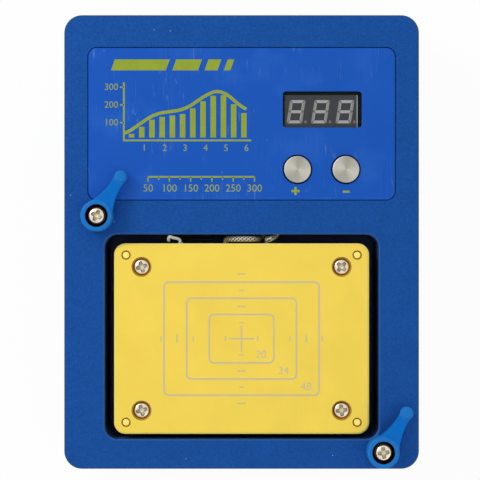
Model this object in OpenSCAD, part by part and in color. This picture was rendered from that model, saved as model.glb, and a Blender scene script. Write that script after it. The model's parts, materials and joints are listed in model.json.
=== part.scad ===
// Board preheater: an aluminium housing with an inset control panel, a gold heating
// plate in an open well and two sprung swivel clamps. Millimetres, +Z up, +Y to the rear.
// The origin is on the table, under the middle of the housing.

/* [Heating plate] */
// Spacing of the locating pins across
pin_w = 71.6; // [62:0.2:88]
// Spacing of the locating pins front to rear
pin_d = 51.8; // [42:0.2:68]
// Diameter of a locating pin
pin_dia = 2.1; // [1.6:0.1:2.4]
// Depth of a pin's end below the plate's face
pin_sink = 0.1; // [0.05:0.05:0.3]
// Width of the ring cut round each pin's end
pin_ring_w = 0.4; // [0.2:0.1:0.6]
// Depth of that ring
pin_ring_depth = 0.7; // [0.4:0.1:1]
// Distance from the pins to the plate's side edges
pin_edge_side = 3.7; // [3:0.1:6]
// Distance from the pins to the plate's front and rear edges
pin_edge_end = 3.6; // [3:0.1:6]
// Distance from the pins to the plate's screws, across
screw_inset_w = 4.8; // [4:0.1:8]
// Distance from the pins to the plate's screws, front to rear
screw_inset_d = 3.65; // [3:0.05:6]
// Thickness of the heating plate
plate_t = 6; // [5:0.5:8]
// Height of the plate's face above the housing's face
plate_proud = 0.5; // [0.2:0.1:1]
// Corner radius of the heating plate
plate_r = 3.5; // [2:0.5:6]
// Chamfer round the plate's upper edge
plate_break = 0.5; // [0.2:0.1:0.8]
// Diameter of the counterbore round each plate screw
plate_counterbore = 5.2; // [5.1:0.1:7]
// Width of the flare round that counterbore
flare_w = 0.5; // [0.2:0.1:0.8]
// Depth of that flare
flare_depth = 1.3; // [0.5:0.1:1.8]
// Depth of that counterbore
plate_counterbore_depth = 2.4; // [2:0.1:3]

/* [Heater stack] */
// Margin of the heater inside the plate's edge
heater_margin = 2.5; // [1:0.5:5]
// Thickness of the heater element
heater_t = 2; // [1:0.5:3]
// Thickness of the insulation under the heater
pad_t = 3; // [2:0.5:4]
// Thickness of the steel plate that clamps the stack
backing_t = 1.2; // [0.8:0.1:2]
// Width across flats of the pillars under the stack
pillar_af = 6; // [5.5:0.1:8]

/* [Well] */
// Gap between plate and housing at each side
well_gap_side = 3; // [2.5:0.1:4]
// Gap between plate and housing at the rear, where the leads rise
well_gap_rear = 2.8; // [2.6:0.1:4]
// Gap between plate and housing at the front
well_gap_front = 1.6; // [1:0.1:3]
// Corner radius of the well
well_r = 4; // [3:0.5:6]

/* [Housing] */
// Width of the rail beside the well
side_rail = 12.5; // [11.5:0.1:16]
// Width of the rail in front of the well
front_rail = 9.3; // [8.8:0.1:14]
// Width of the rail between well and panel
mid_rail = 10.5; // [9:0.1:14]
// Width of the rail behind the panel
rear_rail = 9.9; // [9:0.1:14]
// Height of the housing
body_h = 32.5; // [31.5:0.5:45]
// Thickness of the housing's walls
wall = 2.5; // [2:0.1:3]
// Thickness of the housing's top
top_t = 3.2; // [2.8:0.1:4]
// Corner radius of the housing
corner_r = 5.5; // [4:0.5:8]
// Chamfer on the housing's upper edge and round the well
edge_break = 0.5; // [0.2:0.1:1]
// Radius of the corner posts that take the cover screws
post_r = 3.5; // [3:0.1:4]

/* [Control panel] */
// Depth of the panel's recess, front to rear
panel_d = 47.6; // [45:0.2:60]
// Rail beside the panel's recess
panel_margin = 7.2; // [5:0.1:10]
// Depth of the recess, which is the panel's thickness
panel_t = 1.2; // [0.8:0.1:1.6]
// Corner radius of the panel's recess
panel_r = 3; // [2:0.5:5]
// Gap all round the panel
panel_gap = 0.3; // [0.1:0.05:0.5]

/* [Display] */
// Distance of the display's middle from the right edge of the panel's recess
display_inset = 22.8; // [20:0.1:26]
// Distance of the display from the panel's middle, to the rear
display_y = 4.45; // [3:0.05:6]
// Width of the display module
display_w = 22.5; // [20:0.1:24]
// Height of the display module's face, front to rear
display_d = 10; // [9:0.1:11]
// Height of the display module above its board
display_h = 7.6; // [6:0.1:8]
// Gap between the display module and its window, left and right
window_gap = 1; // [0.3:0.1:1.2]
// Gap between the display module and its window, front and rear
window_gap_d = 0.6; // [0.3:0.05:0.9]
// Distance the module sits left of its window's middle
display_shift = 0.3; // [0:0.05:0.4]
// Distance the module sits in front of its window's middle
display_drop = 0.5; // [0:0.05:0.5]
// Corner radius of the window
window_r = 1; // [0.5:0.1:2]
// Height of a digit
digit_h = 7.2; // [5:0.1:8]
// Width of a digit
digit_w = 4.8; // [3:0.1:5]
// Distance from one digit to the next
digit_pitch = 7.6; // [6.6:0.1:7.7]
// Slant of the digits
digit_slant = 9; // [0:0.5:12]
// Width of one bar of a digit
bar_w = 0.9; // [0.5:0.05:1]
// Depth of the bars in the display's face
bar_depth = 0.4; // [0.2:0.1:0.8]

/* [Buttons] */
// Distance between the two buttons
key_pitch = 15; // [12.6:0.1:18]
// Distance of the pair's middle from the right edge of the panel's recess
key_inset = 23; // [20:0.1:26]
// Distance of the pair in front of the panel's middle
key_y = 14.15; // [12.5:0.05:15]
// Diameter of a button
key_dia = 8.4; // [7:0.1:10]
// Gap between a button and its hole
key_gap = 0.4; // [0.1:0.05:0.6]
// Height of a button above the panel
key_proud = 1; // [0.8:0.1:1.6]
// Travel of a button
key_travel = 0.6; // [0.2:0.1:0.7]
// Width of the collar that keeps a button in
key_collar = 1.2; // [0.8:0.1:1.4]

/* [Clamps] */
// Rear clamp's pivot, right of the well's rear left corner
rear_clamp_x = -2; // [-3:0.1:0]
// Rear clamp's pivot, behind the well's rear edge
rear_clamp_y = 5.75; // [5.2:0.05:6.5]
// Front clamp's pivot, right of the well's front right corner
front_clamp_x = 1; // [0:0.1:2]
// Front clamp's pivot, in front of the well's front edge
front_clamp_y = 3.55; // [3.5:0.05:4.5]
// Angle of the parked clamps, from +X towards +Y
clamp_angle = 58.5; // [0:0.5:90]
// Distance from pivot to fingertip
clamp_reach = 14; // [12:0.1:18]
// Diameter of the clamp's hub
hub_dia = 9.8; // [9:0.1:11]
// Diameter of the bore in the hub
hub_bore = 6.9; // [6.4:0.1:7.4]
// Thickness of the floor in the hub, under the spring
hub_floor = 1.5; // [1:0.1:2]
// Diameter of the fingertip
tip_dia = 4; // [3:0.1:5]
// Gap under the fingertip, above the housing's face
tip_gap = 2.3; // [2.2:0.1:3]
// Gap under the arm, above the housing's face
arm_gap = 3.4; // [2.8:0.1:4]
// Lift of a clamp against its spring
clamp_lift = 2; // [1:0.1:2]
// Mean diameter of the clamp's spring
spring_dia = 5; // [4.6:0.1:5.2]
// Diameter of the spring's wire
spring_wire = 0.6; // [0.4:0.05:0.6]
// Turns in the spring
spring_turns = 3.5; // [2:0.5:4]

/* [Base] */
// Height of the rubber feet
foot_h = 3.5; // [3:0.1:6]
// Diameter of the rubber feet
foot_dia = 10; // [9:0.1:10.4]
// Thickness of the bottom cover
cover_t = 1.5; // [1.2:0.1:2.5]
// Thickness of the heat shield's sheet
tray_t = 0.8; // [0.6:0.1:1]
// Width of a vent slot in the cover
vent_w = 2.5; // [1.5:0.1:3]
// Length of a vent slot
vent_l = 16; // [8:0.5:18]
// Distance from one vent slot to the next
vent_pitch = 6; // [5:0.5:8]
// Number of vent slots
vent_count = 9; // [3:2:9]

/* [Mains inlet and switch] */
// Distance of the inlet's middle from the housing's left side
inlet_inset = 33; // [32:0.5:35]
// Width of the inlet's flange
inlet_flange_w = 48; // [46:0.5:50]
// Height of the inlet's flange
inlet_flange_h = 22.5; // [21:0.5:24]
// Thickness of the flanges on the rear wall
flange_t = 1.6; // [1.2:0.1:1.6]
// Height of those flanges above the rear wall, the rest let into it
flange_proud = 0.4; // [0.3:0.1:0.8]
// Width of the inlet's body
inlet_w = 27; // [26.5:0.1:28]
// Height of the inlet's body
inlet_h = 19.6; // [19:0.1:20]
// Depth of the inlet's body, from the face its flange bears on
inlet_depth = 21; // [20:0.5:23]
// Spacing of the inlet's screws
inlet_screw_w = 40; // [38:0.5:42]
// Distance of the power switch's middle from the housing's right side
switch_inset = 35; // [31:0.5:37]
// Width of the power switch's bezel
bezel_w = 21; // [20.4:0.1:23]
// Height of the power switch's bezel
bezel_h = 15; // [14:0.1:17]
// Tilt of the rocker to each side
rocker_tilt = 6; // [3:0.5:6]

/* [Boards] */
// Gap between the power board and the side walls
power_side = 6.5; // [5.5:0.5:8.5]
// Depth of the power board, front to rear
power_d = 26; // [25:0.5:28]
// Thickness of the boards
board_t = 1.6; // [1:0.1:2]
// Height of the pillars under the power board
power_lift = 5; // [4:0.5:6]
// Width of the display board
display_board_w = 50; // [46:0.5:51]
// Depth of the display board, front to rear
display_board_d = 36; // [35:0.5:37]

/* [Hidden] */
$fn = 64;

// Clearances
thread_gap = 0.05;
fit_gap = 0.2;
hole_gap = 0.2;
swivel_gap = 0.1;
cut = 1;

// Screws: shank diameter, head diameter, head height
m25 = [2.5, 4.8, 1.8];
m3 = [3, 5.6, 1.9];
m2 = [2, 3.6, 1.3];
nut_h = 2.4;
nut_af = 5.5;
screw_end = 1.6;

// Plate and its screws, worked out from the locating pins
plate_w = pin_w + 2 * pin_edge_side;
plate_d = pin_d + 2 * pin_edge_end;
plate_screw_w = pin_w - 2 * screw_inset_w;
plate_screw_d = pin_d - 2 * screw_inset_d;

// Plan of the housing, worked out from the plate outwards
well_w = plate_w + 2 * well_gap_side;
well_d = plate_d + well_gap_front + well_gap_rear;
body_w = well_w + 2 * side_rail;
body_d = front_rail + well_d + mid_rail + panel_d + rear_rail;
well_front = -body_d / 2 + front_rail;
well_rear = well_front + well_d;
well_y = (well_front + well_rear) / 2;
plate_y = well_front + well_gap_front + plate_d / 2;
plate_rear = plate_y + plate_d / 2;
panel_w = body_w - 2 * panel_margin;
panel_y = well_rear + mid_rail + panel_d / 2;
rear_y = body_d / 2;
flange_recess = flange_t - flange_proud;
mount_y = rear_y - flange_recess;
inlet_x = inlet_inset - body_w / 2;
switch_x = body_w / 2 - switch_inset;

// Levels
z_base = foot_h;
z_cover = z_base + cover_t;
z_tray = z_cover + tray_t;
z_top = z_base + body_h;
z_under = z_top - top_t;
z_plate = z_top + plate_proud;
z_plate_low = z_plate - plate_t;
z_heater_low = z_plate_low - heater_t;
z_pad_low = z_heater_low - pad_t;
z_backing_low = z_pad_low - backing_t;
z_rear = z_base + body_h / 2;

// Corner posts, feet and pillars
post_bite = 0.6;
post_x = body_w / 2 - wall - post_r + post_bite;
post_y = body_d / 2 - wall - post_r + post_bite;
post_screw_depth = 9;
foot_recess = 2.3;
foot_recess_dia = m3[1] + 1;
pillar_screw_depth = 5;

// Buttons, their switches and the display board
display_cx = panel_w / 2 - display_inset;
display_cy = panel_y + display_y;
window_touch_gap = 0.1;
module_x = display_cx - min(display_shift, window_gap - window_touch_gap);
module_y = display_cy - min(display_drop, window_gap_d - window_touch_gap);
digits_at = [-0.2, -0.15];
point_inset = 0.85;
key_x = panel_w / 2 - key_inset;
key_cy = panel_y - key_y;
key_cx = [key_x - key_pitch / 2, key_x + key_pitch / 2];
collar_t = 0.8;
collar_gap = 0.1;
z_collar = z_under - collar_gap - collar_t;
stem_dia = 3.4;
stem_show = 0.4 + key_travel + 0.2;
stem_hidden = 1.4;
key_switch_w = 6;
key_switch_h = 3.5;
z_key_switch = z_collar - stem_show;
z_display_board = z_key_switch - key_switch_h;
display_board_x = (display_cx + key_x) / 2;
display_board_y = (display_cy + key_cy) / 2;
display_boss_r = 2.5;
display_boss_inset = 3.5;
display_screw_depth = 4;

// Clamps
rear_pivot = [-well_w / 2 + rear_clamp_x, well_rear + rear_clamp_y];
front_pivot = [well_w / 2 + front_clamp_x, well_front - front_clamp_y];
flank_ratio = 1.3;
clamp_boss_r = 3.4;
clamp_boss_h = 4;
head_sink = 0.1;
spring_low = hub_floor;
spring_high = hub_floor + (spring_turns + 1) * spring_wire + clamp_lift;
hub_h = spring_high + m25[2] + head_sink;
clamp_screw_l = spring_high + top_t + clamp_boss_h - 0.5;

// Power board and what stands on it
power_w = body_w - 2 * (wall + power_side);
power_front = well_rear + tray_t + 4;
power_y = power_front + power_d / 2;
z_power = z_cover + power_lift + board_t;
power_inset = 3.5;
converter = [30, 19, 15];
converter_x = -power_w / 2 + 2 * power_inset + converter[0] / 2;
triac_w = 10;
triac_t = 4.6;
tab_t = 1.3;
sink = [7, 20, 12];
sink_back = 2;
sink_fins = 6;
fin_t = 1;
converter_gap = 1;
sink_x = converter_x + converter[0] / 2 + converter_gap + triac_t;
header = [2.6, 12, 2.5];
header_pin = 0.64;
header_pitch = 2.2;
fuse_l = 20;
fuse_dia = 5;
fuse_cap = 5;
clip_w = 4;
clip_t = 0.8;
fuse_y = power_y - 0.5;
fuse_lift = 1.6;
terminal_pitch = 5.2;
terminal_screw = [3.6, 2];
terminal_mouth = 5;
terminal_inset = 0.6;
terminal_w = 10.4;
terminal_d = 8.4;
terminal_h = 10;
terminal_mouth_z = z_power + 3;
probe_socket = [6, 4.5, 5];
probe_socket_inset = 0.4;
capacitor = [5.5, 13, 11];
capacitor_edge = 1.5;
chip = [4, 10, 1.5];

// Header, fuse and capacitor share the power board's length to the right of the heat sink
row_start = sink_x + sink[0];
row_end = power_w / 2 - capacitor_edge;
row_gap = (row_end - row_start - header[0] - fuse_l - capacitor[0]) / 3;
link_gap = 0.5;
board_screw_x = display_board_x - display_board_w / 2 + display_boss_inset;
link_x = max(row_start + row_gap, board_screw_x + m2[1] / 2 + link_gap) + header[0] / 2;
fuse_x = link_x + header[0] / 2 + row_gap + fuse_l / 2;
terminal_x = fuse_x + (fuse_l - terminal_w) / 2;
probe_socket_x = link_x + probe_socket[0] / 2;
earth_inset = 18.5;
earth_pos = [-4, rear_y - earth_inset];
earth_tag = 4.1;
tag_t = 0.8;

// Rear wall: inlet contacts and switch
contact_t = 0.8;
contact_w = 4.8;
contact_tail = 8;
socket_w = 24;
socket_h = 16.4;
socket_depth = 17;
blade_w = 2;
blade_h = 4;
blade_l = 15;
blade_spread = 7;
blade_drop = 2;
switch_w = 18.8;
switch_h = 12.7;
switch_depth = 15;
inlet_flange_r = 3;
bezel_r = 1.5;
rocker_l = 7.8;
rocker_h = 10.6;
rocker_pivot = 4;
rocker_rise = 4;
trunnion_dia = 2.4;
rocker_room = [8.6, 11.2, 4];
switch_contact_x = 6;

// Routes of the leads and wires, through round points
heater_lead_dia = 1.8;
probe_lead_dia = 1;
mains_wire_dia = 2.2;
wire_gap = 0.25;
heater_start_y = plate_rear - heater_margin + wire_gap;
z_lead = z_heater_low + heater_lead_dia / 2 + 0.05;
well_mid_y = (plate_rear + well_rear) / 2;
lead_end_y = power_front + terminal_inset - wire_gap;
left_end_x = terminal_x - terminal_pitch / 2;
right_end_x = terminal_x + terminal_pitch / 2;
lead_back_y = well_rear + tray_t + heater_lead_dia;
heater_lead_left_route = [
    [-5, heater_start_y, z_lead], [-5, plate_rear - 0.6, z_lead],
    [-4.6, well_mid_y - 0.1, z_lead + 0.4], [-3.6, well_mid_y, z_lead + 2.2],
    [-1.6, well_mid_y, z_top - 2.6], [1.2, well_mid_y, z_top - 2],
    [3.8, well_mid_y, z_top - 2.8], [5, well_mid_y, z_top - 6],
    [6, well_mid_y + 0.4, z_top - 9], [10, well_rear + 2.4, z_top - 11],
    [left_end_x - 8.4, lead_back_y, z_top - 15],
    [left_end_x - 2.4, lead_back_y, terminal_mouth_z + 2],
    [left_end_x, well_rear + 3, terminal_mouth_z + 0.4], [left_end_x, lead_end_y, terminal_mouth_z]
];
heater_lead_right_route = [
    [8, heater_start_y, z_lead], [8, plate_rear - 0.6, z_lead],
    [8, well_mid_y - 0.1, z_lead + 0.4], [8.1, well_mid_y, z_top - 4],
    [9, well_mid_y + 0.1, z_top - 2.8], [10.6, well_rear - 0.4, z_top - 5],
    [13, well_rear + 2.4, z_top - 6.6], [right_end_x - 9.6, lead_back_y, z_top - 10],
    [right_end_x - 1.6, lead_back_y, terminal_mouth_z + 4],
    [right_end_x, well_rear + 2.9, terminal_mouth_z + 0.8], [right_end_x, lead_end_y, terminal_mouth_z]
];
probe_x = -19;
probe_dia = 2;
probe_depth = 12;
probe_show = 0.3;
z_probe = z_plate_low + plate_t / 2;
probe_lead_route = [
    [probe_x, plate_rear + probe_show + wire_gap, z_probe], [probe_x - 0.6, well_mid_y, z_probe + 0.3],
    [probe_x - 2.2, well_mid_y + 0.4, z_top - 1.6], [probe_x - 3.4, well_rear - 0.7, z_top - 1.2],
    [probe_x - 3.7, well_mid_y - 0.4, z_top - 3], [probe_x - 3, well_mid_y, z_top - 7],
    [probe_x + 2, well_mid_y, z_top - 10], [-9, well_mid_y, z_top - 11],
    [-6, well_rear + 1.8, z_top - 12], [probe_socket_x - 10, well_rear + 2.4, z_top - 16],
    [probe_socket_x - 2, lead_back_y, z_power + 3.2], [probe_socket_x, well_rear + 3, z_power + 2.2],
    [probe_socket_x, power_front + probe_socket_inset - wire_gap, z_power + 2]
];
tray_notch = [-9, 16, 13];
inlet_tail_y = mount_y - inlet_depth - contact_tail;
switch_tail_y = mount_y - switch_depth - contact_tail;
power_rear = power_front + power_d;
mains_mouth_y = power_rear + wire_gap;
inlet_wire_y = inlet_tail_y - wire_gap;
switch_wire_y = switch_tail_y - wire_gap;
live_wire_route = [
    [inlet_x + blade_spread, inlet_wire_y, z_rear - blade_drop],
    [inlet_x + blade_spread, inlet_wire_y - 2, z_rear - blade_drop],
    [inlet_x + blade_spread + 3, inlet_wire_y - 4, z_rear - 1],
    [0, inlet_wire_y - 2, z_rear], [switch_x - switch_contact_x - 2, switch_wire_y - 4, z_rear],
    [switch_x - switch_contact_x, switch_wire_y - 2, z_rear],
    [switch_x - switch_contact_x, switch_wire_y, z_rear]
];
switched_wire_route = [
    [switch_x + switch_contact_x, switch_wire_y, z_rear],
    [switch_x + switch_contact_x, switch_wire_y - 3, z_rear],
    [left_end_x, mains_mouth_y + 6, z_rear - 2],
    [left_end_x, mains_mouth_y + 2, terminal_mouth_z + 0.4],
    [left_end_x, mains_mouth_y, terminal_mouth_z]
];
neutral_wire_route = [
    [inlet_x - blade_spread, inlet_wire_y, z_rear - blade_drop],
    [inlet_x - blade_spread, inlet_wire_y - 3, z_rear - blade_drop],
    [inlet_x - blade_spread + 3, mains_mouth_y + 3, z_rear - 6],
    [-10, mains_mouth_y + 2.6, z_rear - 8], [10, mains_mouth_y + 2.6, z_rear - 8],
    [terminal_x, mains_mouth_y + 4, z_rear - 7],
    [right_end_x, mains_mouth_y + 2.4, terminal_mouth_z + 0.2],
    [right_end_x, mains_mouth_y, terminal_mouth_z]
];
earth_wire_route = [
    [inlet_x, inlet_wire_y, z_rear + blade_drop], [inlet_x, inlet_wire_y - 2.5, z_rear + blade_drop],
    [inlet_x, inlet_wire_y - 3, z_rear - 2], [inlet_x + 2, inlet_wire_y + 1, z_rear - 9],
    [-12, inlet_wire_y + 2, z_cover + 2.4], [earth_pos[0], earth_pos[1] - 9, z_cover + 1.4],
    [earth_pos[0], earth_pos[1] - earth_tag - wire_gap, z_cover + mains_wire_dia / 2 + 0.1]
];

// Colours
anodised_blue = "#1d4f9a";
panel_blue = "#2358b4";
lever_blue = "#1f72c4";
gold = "#efd55c";
nickel = "#d8d2c4";
steel = "#a9abad";
black_sheet = "#141519";
black_plastic = "#1b1c1f";
board_green = "#1d5a36";

// Rectangle with round corners, about the origin
module rounded_rect(w, d, r) {
    square([w, d - 2 * r], center = true);
    square([w - 2 * r, d], center = true);
    for (x = [-1, 1], y = [-1, 1])
        translate([x * (w / 2 - r), y * (d / 2 - r)]) circle(r);
}

// Upright block with round corners, standing on z = 0, chamfered round its upper edge
module rounded_block(w, d, h, r, c) {
    for (x = [-1, 1], y = [-1, 1])
        translate([x * (w / 2 - r), y * (d / 2 - r), 0])
            rotate_extrude() polygon([[0, 0], [r, 0], [r, h - c], [r - c, h], [0, h]]);
    rotate([90, 0, 90]) linear_extrude(w - 2 * r, center = true) chamfered_section(d, h, c);
    rotate([90, 0, 0]) linear_extrude(d - 2 * r, center = true) chamfered_section(w, h, c);
}

// Section across such a block
module chamfered_section(s, h, c)
    polygon([[-s / 2, 0], [s / 2, 0], [s / 2, h - c], [s / 2 - c, h], [-s / 2 + c, h], [-s / 2, h - c]]);

// Flaring cut that breaks the edge of a rounded opening, from z = 0 up to z = c
module edge_flare(w, d, r, c) {
    for (x = [-1, 1], y = [-1, 1])
        translate([x * (w / 2 - r), y * (d / 2 - r), 0]) cylinder(h = c, r1 = r, r2 = r + c);
    rotate([90, 0, 90]) linear_extrude(w - 2 * r, center = true)
        polygon([[-d / 2, 0], [d / 2, 0], [d / 2 + c, c], [-d / 2 - c, c]]);
    rotate([90, 0, 0]) linear_extrude(d - 2 * r, center = true)
        polygon([[-w / 2, 0], [w / 2, 0], [w / 2 + c, c], [-w / 2 - c, c]]);
}

// Copies at the four corners of a rectangle
module corners(w, d) for (x = [-1, 1], y = [-1, 1]) translate([x * w / 2, y * d / 2, 0]) children();

// Pan-head screw with a cross recess: head's underside on z = 0, shank downwards
module pan_screw(size, length) {
    head_r = size[1] / 2;
    dome_r = size[1] * 0.9;
    wing = size[1] * 0.58;
    difference() {
        union() {
            intersection() {
                cylinder(h = size[2], r = head_r);
                translate([0, 0, size[2] - dome_r]) sphere(dome_r);
            }
            translate([0, 0, -length]) cylinder(h = length + size[2] / 2, d = size[0]);
        }
        for (turn = [0, 90])
            rotate(turn) translate([-wing / 2, -size[1] * 0.09, size[2] * 0.45])
                cube([wing, size[1] * 0.18, size[2]]);
        translate([0, 0, size[2] * 0.3]) cylinder(h = size[2], r1 = size[1] * 0.08, r2 = size[1] * 0.2);
    }
}

// Countersunk screw with its flat head downwards: head's face on z = 0, shank upwards
module flat_screw(shank, head, length) {
    rise = (head - shank) / 2;
    difference() {
        union() {
            cylinder(h = rise, d1 = head, d2 = shank);
            cylinder(h = length, d = shank);
        }
        for (turn = [0, 90])
            rotate(turn) translate([-head * 0.28, -head * 0.08, -cut])
                cube([head * 0.56, head * 0.16, cut + rise * 0.6]);
    }
}

// Hole for such a screw, from z = 0 upwards
module flat_screw_hole(shank, head, length) {
    rise = (head - shank) / 2;
    translate([0, 0, -cut]) cylinder(h = cut, d = head);
    cylinder(h = rise, d1 = head, d2 = shank);
    cylinder(h = length, d = shank + hole_gap);
}

// Tube swept along a route, eight-sided unless told otherwise
function unit(v) = v / norm(v);
function blend(a, b, c, d, t) =
    0.5 * (2 * b + (c - a) * t + (2 * a - 5 * b + 4 * c - d) * t * t + (3 * b - a - 3 * c + d) * t * t * t);
function point(p, i) = p[max(0, min(len(p) - 1, i))];
function smooth(p, n) = concat(
    [for (i = [0 : len(p) - 2], k = [0 : n - 1])
        blend(point(p, i - 1), p[i], p[i + 1], point(p, i + 2), k / n)],
    [p[len(p) - 1]]
);
function heading(p, i) = unit(point(p, i + 1) - point(p, i - 1));
function aside(t, n) = unit(n - (n * t) * t);
function first_aside(t) = aside(t, abs(t[2]) < 0.8 ? [0, 0, 1] : [1, 0, 0]);
module tube(p, dia, sides = 8) {
    count = len(p);
    normals = [
        for (i = 0, n = first_aside(heading(p, 0)); i < count;
             i = i + 1, n = aside(heading(p, min(i, count - 1)), n)) n
    ];
    points = [
        for (i = [0 : count - 1], k = [0 : sides - 1])
            let (a = 360 * k / sides, n = normals[i], b = cross(heading(p, i), n))
                p[i] + dia / 2 * (cos(a) * n + sin(a) * b)
    ];
    polyhedron(
        points,
        concat(
            [[for (k = [0 : sides - 1]) k]],
            [for (i = [0 : count - 2], k = [0 : sides - 1])
                [i * sides + k, (i + 1) * sides + k,
                 (i + 1) * sides + (k + 1) % sides, i * sides + (k + 1) % sides]],
            [[for (k = [sides - 1 : -1 : 0]) (count - 1) * sides + k]]
        ),
        convexity = 6
    );
}

// Housing: a deep shell, open below, with the panel's recess and the well in its top
module housing() color(anodised_blue) difference() {
    union() {
        difference() {
            translate([0, 0, z_base]) rounded_block(body_w, body_d, body_h, corner_r, edge_break);
            translate([0, 0, z_base - cut]) linear_extrude(body_h - top_t + cut)
                rounded_rect(body_w - 2 * wall, body_d - 2 * wall, corner_r - wall);
        }
        translate([0, 0, z_cover]) corners(2 * post_x, 2 * post_y)
            cylinder(h = z_under + cut - z_cover, r = post_r);
        for (p = [rear_pivot, front_pivot])
            translate([p[0], p[1], z_under - clamp_boss_h])
                cylinder(h = clamp_boss_h + cut, r = clamp_boss_r);
        translate([display_board_x, display_board_y, z_display_board])
            corners(display_board_w - 2 * display_boss_inset, display_board_d - 2 * display_boss_inset)
                cylinder(h = z_under + cut - z_display_board, r = display_boss_r);
    }
    translate([0, panel_y, z_top - panel_t]) linear_extrude(panel_t + cut)
        rounded_rect(panel_w, panel_d, panel_r);
    translate([0, well_y, z_under - cut]) linear_extrude(top_t + 2 * cut)
        rounded_rect(well_w, well_d, well_r);
    translate([0, well_y, z_top - edge_break]) edge_flare(well_w, well_d, well_r, edge_break);
    translate([display_cx, display_cy, z_under - cut]) linear_extrude(top_t) window_outline(fit_gap);
    for (x = key_cx)
        translate([x, key_cy, z_under - cut]) cylinder(h = top_t, d = key_dia + 2 * key_gap);
    for (p = [rear_pivot, front_pivot])
        translate([p[0], p[1], z_under - clamp_boss_h - cut])
            cylinder(h = top_t + clamp_boss_h + 2 * cut, d = m25[0] + 2 * thread_gap);
    translate([0, 0, z_cover - cut]) corners(2 * post_x, 2 * post_y)
        cylinder(h = post_screw_depth + cut, d = m3[0] + 2 * thread_gap);
    translate([display_board_x, display_board_y, z_display_board - cut])
        corners(display_board_w - 2 * display_boss_inset, display_board_d - 2 * display_boss_inset)
            cylinder(h = display_screw_depth + cut, d = m2[0] + 2 * thread_gap);
    outside_rear(inlet_x) {
        flange_pocket(inlet_flange_w, inlet_flange_h, inlet_flange_r);
        translate([0, 0, -cut]) linear_extrude(wall + 2 * cut)
            square([inlet_w + fit_gap, inlet_h + fit_gap], center = true);
        for (x = [-1, 1]) translate([x * inlet_screw_w / 2, 0, -cut])
            cylinder(h = wall + 2 * cut, d = m3[0] + 2 * hole_gap);
    }
    outside_rear(switch_x) {
        flange_pocket(bezel_w, bezel_h, bezel_r);
        translate([0, 0, -cut]) linear_extrude(wall + 2 * cut)
            square([switch_w + fit_gap, switch_h + fit_gap], center = true);
    }
}

// Pocket in the rear wall that a flange sits in
module flange_pocket(w, h, r) translate([0, 0, -flange_recess - cut]) linear_extrude(flange_recess + cut)
    rounded_rect(w + fit_gap, h + fit_gap, r + fit_gap / 2);

// Puts a shape on the face that the rear flanges bear on, its z pointing forwards into the housing
module outside_rear(x) translate([x, mount_y, z_rear]) rotate([90, 0, 0]) children();

// Outline of the display's window, grown by a margin
module window_outline(grow)
    rounded_rect(
        display_w + 2 * (window_gap + grow),
        display_d + 2 * (window_gap_d + grow),
        window_r + grow
    );

// Control panel: a flush inset plate with a window and two button holes
module control_panel() color(panel_blue) difference() {
    translate([0, panel_y, z_top - panel_t]) linear_extrude(panel_t)
        rounded_rect(panel_w - 2 * panel_gap, panel_d - 2 * panel_gap, panel_r - panel_gap);
    translate([display_cx, display_cy, z_top - panel_t - cut]) linear_extrude(panel_t + 2 * cut)
        window_outline(0);
    for (x = key_cx)
        translate([x, key_cy, z_top - panel_t - cut])
            cylinder(h = panel_t + 2 * cut, d = key_dia + 2 * key_gap);
}

// Bottom cover: a plate let into the walls, with vents under the electronics
module bottom_cover() color(anodised_blue) difference() {
    translate([0, 0, z_base]) linear_extrude(cover_t)
        rounded_rect(body_w - 2 * (wall + fit_gap), body_d - 2 * (wall + fit_gap), corner_r - wall - fit_gap);
    translate([0, 0, z_base - cut]) corners(2 * post_x, 2 * post_y)
        cylinder(h = cover_t + 2 * cut, d = m3[0] + 2 * hole_gap);
    translate([0, plate_y, z_base]) corners(plate_screw_w, plate_screw_d)
        flat_screw_hole(m25[0], m25[1], cover_t + cut);
    translate([0, power_y, z_base - cut]) corners(power_w - 2 * power_inset, power_d - 2 * power_inset)
        cylinder(h = cover_t + 2 * cut, d = m25[0] + 2 * thread_gap);
    translate([earth_pos[0], earth_pos[1], z_base - cut])
        cylinder(h = cover_t + 2 * cut, d = m3[0] + 2 * thread_gap);
    for (i = [0 : vent_count - 1])
        translate([(i - (vent_count - 1) / 2) * vent_pitch, power_front, z_base - cut])
            linear_extrude(cover_t + 2 * cut) vent_outline();
}

// Round-ended slot behind the power board
module vent_outline() {
    shift = power_d / 2;
    translate([0, shift - vent_l / 2]) square([vent_w, vent_l - vent_w], center = true);
    for (s = [-1, 1]) translate([0, shift - vent_l / 2 + s * (vent_l - vent_w) / 2]) circle(d = vent_w);
}

// Rubber feet, held by the cover's screws
module rubber_feet() color(black_plastic) corners(2 * post_x, 2 * post_y) difference() {
    rotate_extrude() polygon([
        [0, 0], [foot_dia / 2 - 0.6, 0], [foot_dia / 2, 0.8], [foot_dia / 2, foot_h], [0, foot_h]
    ]);
    translate([0, 0, -cut]) cylinder(h = foot_recess + cut, d = foot_recess_dia);
    translate([0, 0, -cut]) cylinder(h = foot_h + 2 * cut, d = m3[0] + 2 * hole_gap);
}

module foot_screws() color(steel) translate([0, 0, foot_recess]) corners(2 * post_x, 2 * post_y)
    mirror([0, 0, 1]) pan_screw(m3, cover_t + foot_h - foot_recess + post_screw_depth - cut);

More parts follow.
